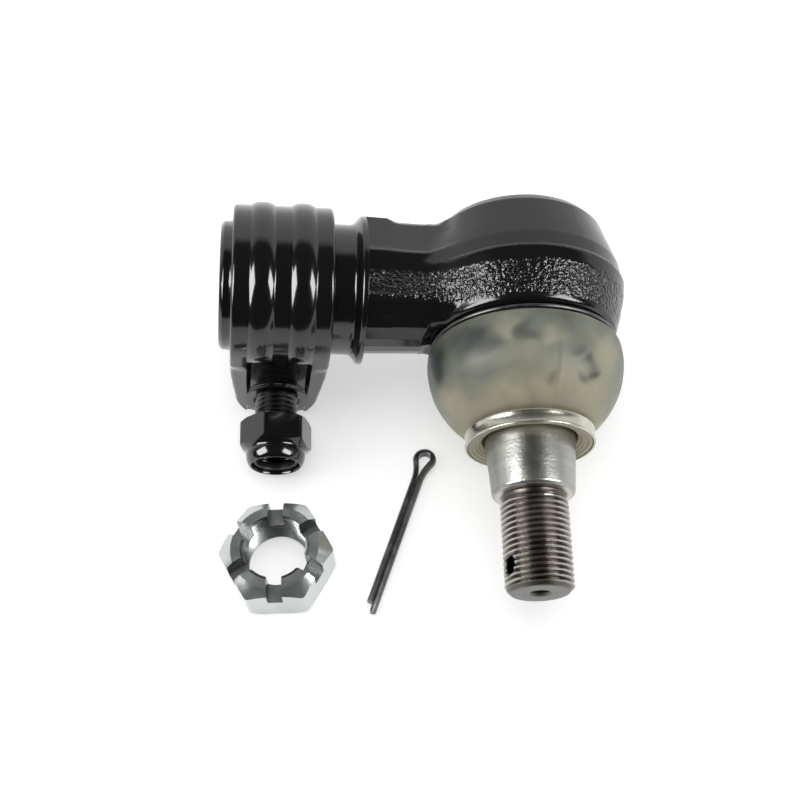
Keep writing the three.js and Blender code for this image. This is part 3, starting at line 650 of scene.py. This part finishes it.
def clamp_ring(y, z, ny, nz, half):
    """One closed section of the strip: outer face with rounded edges, then the inner face."""
    edge = min(1.3, half * 0.8)
    lean = np.linspace(0, math.pi / 2, 6)
    flat = np.linspace(-half + edge, half - edge, 150)
    x = np.concatenate([-half + edge - edge * np.cos(lean[:-1]), flat,
                        half - edge + edge * np.cos(lean[::-1][1:])])
    drop = np.concatenate([edge * (1 - np.sin(lean[:-1])), np.zeros(len(flat)),
                           edge * (1 - np.sin(lean[::-1][1:]))])
    h = clamp_height(x, z) - drop
    small = min(0.5, half * 0.3)
    x = np.concatenate([x, [half, half - small], [-half + small, -half]])
    h = np.concatenate([h, [small, 0], [0, small]])
    return np.stack([x - CLAMP_AT, y + ny * h, z + nz * h], axis=1)


# %% Clamp band
sections = [clamp_ring(BAND_R, z, 1, 0, half) for z, half in EAR_ROWS]
sections += [clamp_ring(BAND_R * math.cos(a), BAND_R * math.sin(a), math.cos(a), math.sin(a), CLAMP_HALF)
             for a in np.linspace(0, math.pi, 97)]
sections += [clamp_ring(-BAND_R, z, -1, 0, half) for z, half in EAR_ROWS[::-1]]
clamp = new_piece("clamp_band", np.concatenate(sections), sheet_faces(len(sections), len(sections[0])), BODY,
                  34)
carve(clamp, [rod("bolt_hole", BOLT_HOLE_R, (BOLT_AT.x, 60, BOLT_AT.z), (BOLT_AT.x, -60, BOLT_AT.z), BODY,
                  64)],
      crease=34)
settle(clamp)
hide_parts("clamp_band")
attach(clamp, "clamp")
print("clamp band", len(clamp.data.polygons), "faces")

# %% [markdown]
# ## Clamp bolt and lock nut
# A hexagon with a cone cut over its corners gets the curved edges that every
# real nut has. The outline gives each angle its own height on the cone, so
# those edges lie exactly on mesh edges. The bolt has a rolled M16 thread.
# The nut has a domed collar with the locking ring inside.

# %% Clamp bolt
LEG_OUT, BOLT_R, BOLT_ACROSS = 29.35, 8.0, 24.0
HEAD_FACE = -LEG_OUT - 0.3


def hexagon_rows(across, start, end, start_r, end_r, slope=0.6):
    """Rows of a hexagon whose ends are chamfered down to the given radii."""
    def rows(angle):
        side = hexagon_radius(angle, across)
        low = start + np.maximum(side - start_r, 0) * slope
        high = end - np.maximum(side - end_r, 0) * slope
        return [(np.minimum(side, start_r), start), (side, low), (side, high), (np.minimum(side, end_r), end)]
    return rows


CREST_R = BOLT_R - 0.05
bolt_thread = thread(CREST_R, 2.0, 8.0, 50.2, 1.15,
                     [(8.0, 6.85), (10.5, CREST_R), (48.9, CREST_R), (50.2, 6.5)])
bolt = turned("clamp_bolt", [(0, HEAD_FACE - 10), (9.6, HEAD_FACE - 10),
                             hexagon_rows(BOLT_ACROSS, HEAD_FACE - 9.9, HEAD_FACE - 0.7, 11.2, 11.6),
                             (11.3, HEAD_FACE - 0.6), (11.2, HEAD_FACE), (8.6, HEAD_FACE),
                             (BOLT_R, HEAD_FACE + 0.7),
                             (BOLT_R, 6.4), (6.85, 8.0), bolt_thread, (6.4, 50.2), (0, 50.2)], BOLT, 144,
              closed=False)
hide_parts("clamp_bolt")
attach(bolt, "clamp")

# %% Lock nut and its ring
NUT_BACK, NUT_HEX, NUT_END, NUT_TURN = 39.0, 11.2, 56.0, math.radians(-11)
nut_thread = thread(8.45, 2.0, NUT_BACK, 51.2, 0.6,
                    [(NUT_BACK, 9.0), (NUT_BACK + 1.3, 7), (49.6, 7), (51.2, 8.6)],
                    inside=True, backwards=True)
NUT_SPUN = BOLT @ Matrix.Rotation(NUT_TURN, 4, "Z")
nut = turned("clamp_nut", [(9.0, NUT_BACK), (10.9, NUT_BACK),
                           hexagon_rows(24, NUT_BACK, NUT_BACK + NUT_HEX, 12.4, 11.2, 0.8)]
             + rounded([(11.2, 50.2), (10.9, 50.9, 0.3), (10.85, 51.3, 0.3), (11.05, 52.0, 0.5),
                        (10.8, 53.6, 1.0),
                        (10.2, 55.2, 0.8), (9.5, NUT_END, 0.4), (9.0, NUT_END, 0.3), (8.75, 55.3, 0.2),
                        (8.7, 51.2),
                        (8.6, 51.2)], closed=False)
             + [nut_thread], NUT_SPUN, 144)
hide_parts("clamp_nut")
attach(nut, "clamp_nut")
ring_outline = rounded([(7.1, 51.8, 0.4), (8.4, 51.8), (8.4, 54.6, 0.4), (7.1, 54.6, 0.5)])
insert = turned("clamp_nut_insert", ring_outline, BOLT, 96)
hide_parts("clamp_nut_insert")
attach(insert, "clamp_nut")
print("bolt, nut and ring made")

# %% [markdown]
# ## Castle nut and split pin
# The nut that holds the stud is a tall M24 hexagon with six slots milled
# through its crown. Flat-bottomed cutters make the slots, as the mill does.
# The pin is half-round wire, folded so that its flat sides meet; its section
# is carried along the folded path.

# %% Castle nut
CASTLE_HIGH, CASTLE_ACROSS, SLOT_WIDE, SLOT_DEEP = 18.6, 36.0, 5.5, 7.6
nut_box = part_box("castle_nut")
nut_middle = (nut_box[0] + nut_box[1]) / 2
CASTLE = Matrix.Translation((nut_middle.x, nut_middle.y, GROUND))
castle_thread = thread(10.95, 2.0, 0, CASTLE_HIGH, 1.1,
                       [(0, 12.9), (1.9, 10), (CASTLE_HIGH - 1.5, 10), (CASTLE_HIGH, 12.0)],
                       inside=True, backwards=True)
CASTLE_HEX = CASTLE @ Matrix.Rotation(math.radians(30), 4, "Z")
castle = turned("castle_nut", [(17.6, 0), (17.8, 0.2),
                               hexagon_rows(CASTLE_ACROSS, 0.2, CASTLE_HIGH, 19.0, 15.7, 0.9),
                               (12.3, CASTLE_HIGH), castle_thread, (12.9, 0)], CASTLE_HEX, 144)
slots = []
for i in range(3):
    cutter = new_piece("slot", [(x, y, z) for x in (-SLOT_WIDE / 2, SLOT_WIDE / 2) for y in (-30, 30)
                                for z in (CASTLE_HIGH - SLOT_DEEP, CASTLE_HIGH + 5)],
                       [(0, 1, 3, 2), (4, 6, 7, 5), (0, 4, 5, 1), (2, 3, 7, 6), (0, 2, 6, 4), (1, 5, 7, 3)],
                       CASTLE @ Matrix.Rotation(math.radians(60 * i), 4, "Z"))
    slots.append(cutter)
carve(castle, slots)
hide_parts("castle_nut")
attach(castle, "castle_nut")
print("castle nut", len(castle.data.polygons), "faces")

# %% Split pin
PIN_WIRE, PIN_LONG, PIN_SHORT, PIN_EYE, PIN_TURN = 2.1, 63.4, 3.4, 2.3, math.radians(-19.6)
pin_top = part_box("cotter_pin")[1]
PIN = Matrix.Translation((pin_top.x - 4.4 * MM, pin_top.y - 4.4 * MM,
                          GROUND + PIN_WIRE * MM)) @ Matrix.Rotation(PIN_TURN, 4, "Z")
eye = [(PIN_EYE * math.cos(a), PIN_EYE * math.sin(a)) for a in np.radians(np.linspace(-35, 215, 22))]
path = [(0.15, -PIN_LONG + k) for k in (0, 0.01)] + [(0.15, y) for y in np.linspace(-PIN_LONG + 4, -9.5, 12)]
path += smooth_curve([(0.15, -9.5), (0.22, -7.6), (0.75, -4.6), eye[0]], 5)[1:-1] + eye
path += smooth_curve([eye[-1], (-0.75, -4.6), (-0.22, -7.6), (-0.15, -9.5)], 5)[1:]
path += [(-0.15, y) for y in np.linspace(-11, -PIN_LONG + PIN_SHORT + 0.01, 12)]
path += [(-0.15, -PIN_LONG + PIN_SHORT)]
path = np.array(path)
ahead = np.gradient(path, axis=0)
ahead /= np.linalg.norm(ahead, axis=1)[:, None]
half_round = [(PIN_WIRE * math.cos(a), PIN_WIRE * math.sin(a)) for a in np.linspace(-1.45, 1.45, 15)]
half_round = [(0.0, -PIN_WIRE + 0.25)] + half_round + [(0.0, PIN_WIRE - 0.25)]
rings = []
for i, (here, way) in enumerate(zip(path, ahead)):
    size = 0.82 if i in (0, len(path) - 1) else 1
    rings += [(here[0] + way[1] * out * size, here[1] - way[0] * out * size, side * size) for out,
              side in half_round]
n = len(half_round)
pin = new_piece("cotter_pin", rings, sheet_faces(len(path), n)
                + [tuple(range(n))[::-1], tuple(range((len(path) - 1) * n, len(path) * n))], PIN, 40)
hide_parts("cotter_pin")
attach(pin, "cotter_pin")
print("split pin", len(pin.data.polygons), "faces")

# %% [markdown]
# ## Finishes
# Each finish is a procedural material. Two effects are shared: grain, a small
# random height at a stated size, and turning marks, the fine rings that a
# lathe or a grinder leaves. They are node groups, placed in each material
# with that material's own sizes.

# %% Node helpers
def feed(tree, value, socket):
    """Sets a socket to a number, or links it to another socket."""
    if isinstance(value, bpy.types.NodeSocket):
        tree.links.new(value, socket)
    elif value is not None:
        socket.default_value = value


def maths(tree, operation, a, b=None):
    """A Math node; a and b are sockets or numbers."""
    node = tree.nodes.new("ShaderNodeMath")
    node.operation = operation
    for socket, value in zip(node.inputs, (a, b)):
        feed(tree, value, socket)
    return node.outputs[0]


def times(tree, a, b):
    return maths(tree, "MULTIPLY", a, b)


def plus(tree, a, b):
    return maths(tree, "ADD", a, b)


def from_axis(tree, vector):
    """Distance from the piece's own Z axis, and height along it."""
    split = tree.nodes.new("ShaderNodeSeparateXYZ")
    tree.links.new(vector, split.inputs[0])
    x, y, z = split.outputs
    return maths(tree, "SQRT", plus(tree, times(tree, x, x), times(tree, y, y))), z


def noise(tree, vector, scale, detail=2.0, roughness=0.5):
    node = tree.nodes.new("ShaderNodeTexNoise")
    node.inputs["Detail"].default_value = detail
    node.inputs["Roughness"].default_value = roughness
    tree.links.new(vector, node.inputs["Vector"])
    feed(tree, scale, node.inputs["Scale"])
    return node.outputs["Fac"]


# %% Shared effects
def effect(name, size_label, size, outputs):
    """A node group that takes a place and a size in mm, and gives numbers."""
    group = bpy.data.node_groups.new(name, "ShaderNodeTree")
    sockets = group.interface
    sockets.new_socket("Vector", in_out="INPUT", socket_type="NodeSocketVector")
    sockets.new_socket(size_label, in_out="INPUT", socket_type="NodeSocketFloat").default_value = size
    for label in outputs:
        sockets.new_socket(label, in_out="OUTPUT", socket_type="NodeSocketFloat")
    given = group.nodes.new("NodeGroupInput").outputs
    per_metre = maths(group, "DIVIDE", 1000.0, given[1])
    return group, given[0], per_metre, group.nodes.new("NodeGroupOutput").inputs


GRAIN, vector, per_metre, out = effect("grain", "Size in mm", 1.0, ["Height", "Patches"])
coarse = noise(GRAIN, vector, per_metre, 1.0)
cells = GRAIN.nodes.new("ShaderNodeTexVoronoi")
cells.feature = "SMOOTH_F1"
GRAIN.links.new(vector, cells.inputs["Vector"])
GRAIN.links.new(times(GRAIN, per_metre, 0.7), cells.inputs["Scale"])
GRAIN.links.new(plus(GRAIN, coarse, times(GRAIN, cells.outputs["Distance"], 0.6)), out["Height"])
GRAIN.links.new(noise(GRAIN, vector, times(GRAIN, per_metre, 0.06), 3.0), out["Patches"])

MARKS, vector, per_metre, out = effect("turning marks", "Spacing in mm", 0.3, ["Height", "Bands"])
radius, along_axis = from_axis(MARKS, vector)
line = MARKS.nodes.new("ShaderNodeCombineXYZ")
MARKS.links.new(radius, line.inputs[0])
MARKS.links.new(along_axis, line.inputs[1])
MARKS.links.new(noise(MARKS, line.outputs[0], per_metre), out["Height"])
MARKS.links.new(noise(MARKS, line.outputs[0], times(MARKS, per_metre, 0.12)), out["Bands"])
print("effects:", GRAIN.name, "and", MARKS.name)


# %% Material helpers
def finish(name, colour, metallic, roughness, **more):
    """A material with its Principled shader; more sets other sockets by name."""
    material = bpy.data.materials.new(name)
    material.use_nodes = True
    shader = material.node_tree.nodes["Principled BSDF"]
    shader.inputs["Base Color"].default_value = (*colour, 1)
    shader.inputs["Metallic"].default_value = metallic
    shader.inputs["Roughness"].default_value = roughness
    for label, value in more.items():
        shader.inputs[label.replace("_", " ")].default_value = value
    return material, material.node_tree, shader


def place_vector(tree, rest=False):
    """The place on the piece; a bending piece reads the place that it had at rest."""
    if rest:
        node = tree.nodes.new("ShaderNodeAttribute")
        node.attribute_name = "rest_place"
        return node.outputs["Vector"]
    return tree.nodes.new("ShaderNodeTexCoord").outputs["Object"]


def use(tree, group, vector, size):
    """Places an effect in a material, and gives its two outputs."""
    node = tree.nodes.new("ShaderNodeGroup")
    node.node_tree = group
    tree.links.new(vector, node.inputs[0])
    node.inputs[1].default_value = size
    return node.outputs[0], node.outputs[1]


def bump(tree, shader, height, depth_mm, strength=1.0, under=None):
    node = tree.nodes.new("ShaderNodeBump")
    node.inputs["Distance"].default_value = depth_mm * MM
    feed(tree, strength, node.inputs["Strength"])
    feed(tree, height, node.inputs["Height"])
    feed(tree, under, node.inputs["Normal"])
    tree.links.new(node.outputs[0], shader.inputs["Normal"])
    return node.outputs[0]


def spread(tree, value, low, high, start=0.3, end=0.7):
    """Maps a mask onto a range of roughness or tone."""
    node = tree.nodes.new("ShaderNodeMapRange")
    ends = ("From Min", start), ("From Max", end), ("To Min", low), ("To Max", high)
    for label, number in ends:
        node.inputs[label].default_value = number
    tree.links.new(value, node.inputs["Value"])
    return node.outputs[0]


def tones(tree, value, stops):
    """A colour ramp; stops are (place, colour)."""
    node = tree.nodes.new("ShaderNodeValToRGB")
    ramp = node.color_ramp
    while len(ramp.elements) < len(stops):
        ramp.elements.new(1.0)
    for element, (place, colour) in zip(ramp.elements, stops):
        element.position, element.color = place, (*colour, 1)
    tree.links.new(value, node.inputs[0])
    return node.outputs["Color"]


# %% Wandering roughness and tone
def roughen(tree, shader, mask, low, high):
    tree.links.new(spread(tree, mask, low, high), shader.inputs["Roughness"])


def tint(tree, shader, mask, dark, bright):
    ramp = tones(tree, mask, [(0.3, dark), (0.7, bright)])
    tree.links.new(ramp, shader.inputs["Base Color"])


def grainy(name, colour, metallic, roughness, grain, rough=None, tone=None, **more):
    """A finish with a single grain, given as its size, depth and strength."""
    material, tree, shader = finish(name, colour, metallic, roughness, **more)
    size, depth, strength = grain
    height, patches = use(tree, GRAIN, place_vector(tree), size)
    bump(tree, shader, height, depth, strength)
    if rough:
        roughen(tree, shader, patches, *rough)
    if tone:
        tint(tree, shader, patches, *tone)
    return material


def dress(piece, *materials):
    piece.data.materials.clear()
    for material in materials:
        piece.data.materials.append(material)


print("material helpers ready")

# %% [markdown]
# ## Black paint
# Both blacks are the same gloss paint. On the smooth pressing and the turned
# tube it lies almost flat, with only the soft orange peel of sprayed paint.
# On the forging it follows the rough skin below, so its bump is far deeper on
# the as-forged band, and the highlights break into sparks there.

# %% Paint on smooth steel, and on the forging
paint, tree, shader = finish("gloss black paint", (0.0075, 0.0075, 0.0078), 0.0, 0.13,
                             Coat_Weight=0.35, Coat_Roughness=0.06)
vector = place_vector(tree)
peel, peel_patches = use(tree, GRAIN, vector, 2.6)
fine, _ = use(tree, GRAIN, vector, 0.5)
under = bump(tree, shader, fine, 0.012, 0.25)
bump(tree, shader, peel, 0.05, 0.22, under)
roughen(tree, shader, peel_patches, 0.10, 0.2)

forged, tree, shader = finish("black paint on forged skin", (0.0085, 0.0085, 0.0088), 0.0, 0.2)
vector = place_vector(tree)
band_mask = tree.nodes.new("ShaderNodeAttribute")
band_mask.attribute_name = "as_forged"
skin_grain, skin_patches = use(tree, GRAIN, vector, 1.15)
fine, _ = use(tree, GRAIN, vector, 0.5)
under = bump(tree, shader, fine, 0.05, spread(tree, band_mask.outputs["Fac"], 0.12, 0.2, 0, 1))
bump(tree, shader, skin_grain, 0.62, spread(tree, band_mask.outputs["Fac"], 0.01, 1.0, 0, 1), under)
roughen(tree, shader, skin_patches, 0.12, 0.18)

dress(housing, forged, paint)
housing.data.polygons.foreach_set("material_index", on_lathe.astype(np.int32))
dress(clamp, paint)
dress(nut, paint)
dress(cover, paint)
print("paint on", int(on_lathe.sum()), "tube faces; the rest of the housing wears the forged finish")

# %% [markdown]
# ## Bare and plated metals
# The stud's taper is ground bright, while its thread keeps a dark phosphate
# coat that has worn off the crests. So the thread's colour follows the
# distance from the axis. The castle nut's bore uses the same ramp, but there
# the dark roots are painted shade. The castle nut and the boot collar are zinc
# plated, and the bolt, pin and clip ring are oiled dark steel.

# %% Ground steel and phosphated thread
ground, tree, shader = finish("ground steel", (0.50, 0.49, 0.465), 1.0, 0.3)
vector = place_vector(tree)
marks, bands = use(tree, MARKS, vector, 0.22)
speckle, patches = use(tree, GRAIN, vector, 0.7)
under = bump(tree, shader, marks, 0.012, 0.35)
bump(tree, shader, speckle, 0.09, 0.5, under)
roughen(tree, shader, patches, 0.26, 0.4)
tint(tree, shader, bands, (0.30, 0.30, 0.28), (0.40, 0.395, 0.375))


def thread_wear_and_root_shade(name, crest_r, root_r, dark, bright, rough):
    """Darker in the grooves and brighter on the crests: on the stud and bolt a dark coat worn off the crests, in
    the castle nut's bore painted shade in the roots.
    """
    material, tree, shader = finish(name, dark, 1.0, rough)
    vector = place_vector(tree)
    radius, _ = from_axis(tree, vector)
    grain, patches = use(tree, GRAIN, vector, 0.8)
    height = plus(tree, radius, times(tree, grain, 0.0003))
    bright_crests = spread(tree, height, 0, 1, (root_r + 0.55) * MM, (crest_r + 0.35) * MM)
    tree.links.new(tones(tree, bright_crests, [(0.0, dark), (1.0, bright)]), shader.inputs["Base Color"])
    roughen(tree, shader, patches, rough - 0.06, rough + 0.1)
    bump(tree, shader, grain, 0.03, 0.4)
    return material


phosphate = thread_wear_and_root_shade("phosphated thread", THREAD_R, THREAD_ROOT, (0.11, 0.098, 0.086),
                        (0.55, 0.53, 0.50), 0.28)
turned_end, tree, shader = finish("turned end face", (0.17, 0.17, 0.165), 1.0, 0.42)
marks, bands = use(tree, MARKS, place_vector(tree), 0.5)
bump(tree, shader, marks, 0.03, 0.5)
roughen(tree, shader, bands, 0.36, 0.5)
dress(stud, ground, phosphate, turned_end)
heights = np.array([face.center.z for face in stud.data.polygons]) / MM
finish_index = (heights > 78.9).astype(np.int32) + (heights > 113.15)
stud.data.polygons.foreach_set("material_index", finish_index)

# %% Zinc, oiled steel and the small parts
zinc, tree, shader = finish("bright zinc plate", (0.60, 0.63, 0.62), 0.78, 0.2)
vector = place_vector(tree)
grain, patches = use(tree, GRAIN, vector, 0.5)
marks, _ = use(tree, MARKS, vector, 0.6)
under = bump(tree, shader, marks, 0.01, 0.12)
bump(tree, shader, grain, 0.02, 0.12, under)
roughen(tree, shader, patches, 0.12, 0.26)
tint(tree, shader, patches, (0.52, 0.56, 0.55), (0.63, 0.65, 0.635))

yellowed = grainy("passivated zinc", (0.50, 0.50, 0.43), 0.9, 0.22, (0.6, 0.02, 0.15), (0.16, 0.3),
                  ((0.44, 0.44, 0.36), (0.56, 0.56, 0.50)))
oiled = grainy("oiled dark steel", (0.07, 0.07, 0.07), 1.0, 0.32, (0.35, 0.03, 0.35), (0.26, 0.42),
               ((0.07, 0.07, 0.07), (0.17, 0.168, 0.165)))
nylon = grainy("dark nylon", (0.03, 0.03, 0.033), 0.0, 0.4, (0.4, 0.02, 0.3), (0.34, 0.5))
bolt_finish = thread_wear_and_root_shade("oiled bolt thread", 7.95, 6.8, (0.03, 0.03, 0.03), (0.14, 0.14, 0.138), 0.28)
# the castle nut's bore takes the same ramp, so its dark roots are painted shade between the crests
bore_thread_root_shade = thread_wear_and_root_shade("zinc thread with painted root shade", 10.95, 11.35, (0.16, 0.17, 0.165), (0.55, 0.58, 0.57), 0.26)
dress(castle, zinc, bore_thread_root_shade)
in_bore = np.array([face.center.xy.length for face in castle.data.polygons]) < 12.2 * MM
castle.data.polygons.foreach_set("material_index", in_bore.astype(np.int32))
dress(collar, yellowed)
dress(clip, oiled)
dress(pin, oiled)
dress(bolt, bolt_finish)
dress(insert, nylon)
print("metals dressed")

# %% Hidden pieces of the joint
acetal = grainy("natural acetal", (0.70, 0.66, 0.52), 0.0, 0.45, (1.2, 0.03, 0.3), None,
                ((0.64, 0.60, 0.46), (0.74, 0.70, 0.57)), Subsurface_Weight=0.1)
rubber = grainy("black rubber", (0.018, 0.018, 0.018), 0.0, 0.6, (0.6, 0.04, 0.5), (0.5, 0.7))
HIDDEN = {"cover_seal": rubber, "disc_spring_outer": oiled, "disc_spring_inner": oiled,
          "pressure_plate": oiled, "bearing_shell_back": acetal, "bearing_shell_front": acetal}
for node, material in HIDDEN.items():
    dress(frame["nodes"][node], material)
print("hidden pieces:", ", ".join(HIDDEN))

# %% [markdown]
# ## Polyurethane
# The boot lets some light through. Darker, cooler clouds in its colour are
# partly grease inside and partly painted shade of the parts behind the wall,
# and cream patches are painted light from the lit stud and its reflections.
# Its colour runs from grey near the housing to warm amber near the stud, the
# boot's own tone with painted shade near the housing and painted light near
# the lip. Transmission with a rough surface gives the milky depth, and a
# little subsurface spreads the light in the wall. The pattern reads the place
# each point had at rest, so that it bends with the boot.

# %% Boot material
urethane, tree, shader = finish(
    "translucent polyurethane", (0.33, 0.33, 0.26), 0.0, 0.32, Transmission_Weight=0.22, IOR=1.46,
    Subsurface_Weight=0.35, Subsurface_Radius=(0.9, 0.85, 0.6), Subsurface_Scale=0.006,
    Specular_IOR_Level=0.22)
vector = place_vector(tree, rest=True)
split = tree.nodes.new("ShaderNodeSeparateXYZ")
tree.links.new(vector, split.inputs[0])
clouds = noise(tree, vector, 42.0, 3.0, 0.55)
height = plus(tree, split.outputs[2], times(tree, maths(tree, "SUBTRACT", clouds, 0.5), 0.045))
# darker towards the housing, lighter and warmer towards the stud: the boot's own tone with painted shade near the
# housing and painted light near the lip
down = spread(tree, height, 0, 1, 0.020, 0.056)
colour = tones(tree, down, [(0.0, (0.14, 0.15, 0.12)), (0.3, (0.24, 0.26, 0.21)),
                            (0.62, (0.33, 0.345, 0.27)), (1.0, (0.55, 0.51, 0.37))])
# cream tint: painted light; near-black tint: grease together with painted shade of the parts inside
BLOT_TINTS = {"painted_light_patches": (0.66, 0.61, 0.44, 1), "grease_and_painted_shade": (0.045, 0.055, 0.058, 1)}
for blots, blot_tint in BLOT_TINTS.items():
    blot = tree.nodes.new("ShaderNodeAttribute")
    blot.attribute_name = blots
    mix = tree.nodes.new("ShaderNodeMix")
    mix.data_type = "RGBA"
    tree.links.new(blot.outputs["Fac"], mix.inputs[0])
    tree.links.new(colour, mix.inputs[6])
    mix.inputs[7].default_value = blot_tint
    colour = mix.outputs[2]
tree.links.new(colour, shader.inputs["Base Color"])
grain, patches = use(tree, GRAIN, vector, 1.6)
bump(tree, shader, grain, 0.05, 0.25)
roughen(tree, shader, patches, 0.36, 0.52)
dress(boot, urethane)
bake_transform(boot)

# %% [markdown]
# ## Studio
# The part lies on a white table. Two soft boxes stand left and right of the
# camera and draw the bright streaks on the ribs, and a white wall far behind
# gives the upper sides their grey sheen. Overhead stays dark, so that the
# black paint reads as black.

# %% Floor
floor = new_piece("floor", [(-1300, -1300, 0), (1300, -1300, 0), (1300, 1300, 0), (-1300, 1300, 0)],
                  [(0, 1, 2, 3)],
                  Matrix.Translation((0, 0, GROUND - 0.00002)))
white, tree, shader = finish("white light table", (0.8, 0.8, 0.8), 0.0, 0.6, Emission_Color=(1, 1, 1, 1),
                             Emission_Strength=0.5)
roughen(tree, shader, use(tree, GRAIN, place_vector(tree), 3.0)[1], 0.55, 0.7)
dress(floor, white)
floor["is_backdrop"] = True

# %% Soft boxes
VIEW = camera.matrix_world.to_3x3()
RIGHT, ABOVE, TOWARDS = VIEW.col[0], VIEW.col[1], VIEW.col[2]
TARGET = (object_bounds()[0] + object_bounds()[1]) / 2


def soft_box(name, across, above, distance, wide, high, radiance, glossy=True, diffuse=True):
    """A rectangular light, placed by angles from the camera's direction."""
    a, b = math.radians(across), math.radians(above)
    way = RIGHT * math.sin(a) * math.cos(b) + ABOVE * math.sin(b) + TOWARDS * math.cos(a) * math.cos(b)
    data = bpy.data.lights.new(name, "AREA")
    data.shape, data.size, data.size_y = "RECTANGLE", wide, high
    data.energy = radiance * math.pi * wide * high
    light = bpy.data.objects.new(name, data)
    bpy.context.scene.collection.objects.link(light)
    light.location = TARGET + way * distance
    light.rotation_euler = way.to_track_quat("Z", "Y").to_euler()
    light.visible_glossy, light.visible_diffuse = glossy, diffuse
    return light


soft_box("box_left", -52, 4, 0.9, 0.42, 0.62, 13.0, diffuse=False)
soft_box("box_right", 48, 2, 0.9, 0.34, 0.56, 13.0, diffuse=False)
soft_box("fill_above", 0, 32, 1.2, 1.1, 1.1, 2.2, glossy=False)
soft_box("fill_left", -60, 10, 1.2, 0.8, 0.8, 1.6, glossy=False)
soft_box("fill_right", 60, 10, 1.2, 0.8, 0.8, 1.3, glossy=False)

# %% Surroundings
world = bpy.data.worlds.new("studio")
bpy.context.scene.world = world
world.use_nodes = True
tree = world.node_tree
back = tree.nodes["Background"]
way = tree.nodes.new("ShaderNodeTexCoord").outputs["Generated"]
split = tree.nodes.new("ShaderNodeSeparateXYZ")
tree.links.new(way, split.inputs[0])
behind = plus(tree, times(tree, split.outputs[1], 0.86), times(tree, split.outputs[2], -0.5))
wall = spread(tree, behind, 0.035, 1.0, -0.06, 0.12)
seen = tree.nodes.new("ShaderNodeLightPath").outputs["Is Camera Ray"]
tree.links.new(maths(tree, "MAXIMUM", wall, seen), back.inputs["Strength"])
back.inputs["Color"].default_value = (1, 1, 1, 1)
bpy.context.scene.view_settings.view_transform = "Standard"
print("studio ready")
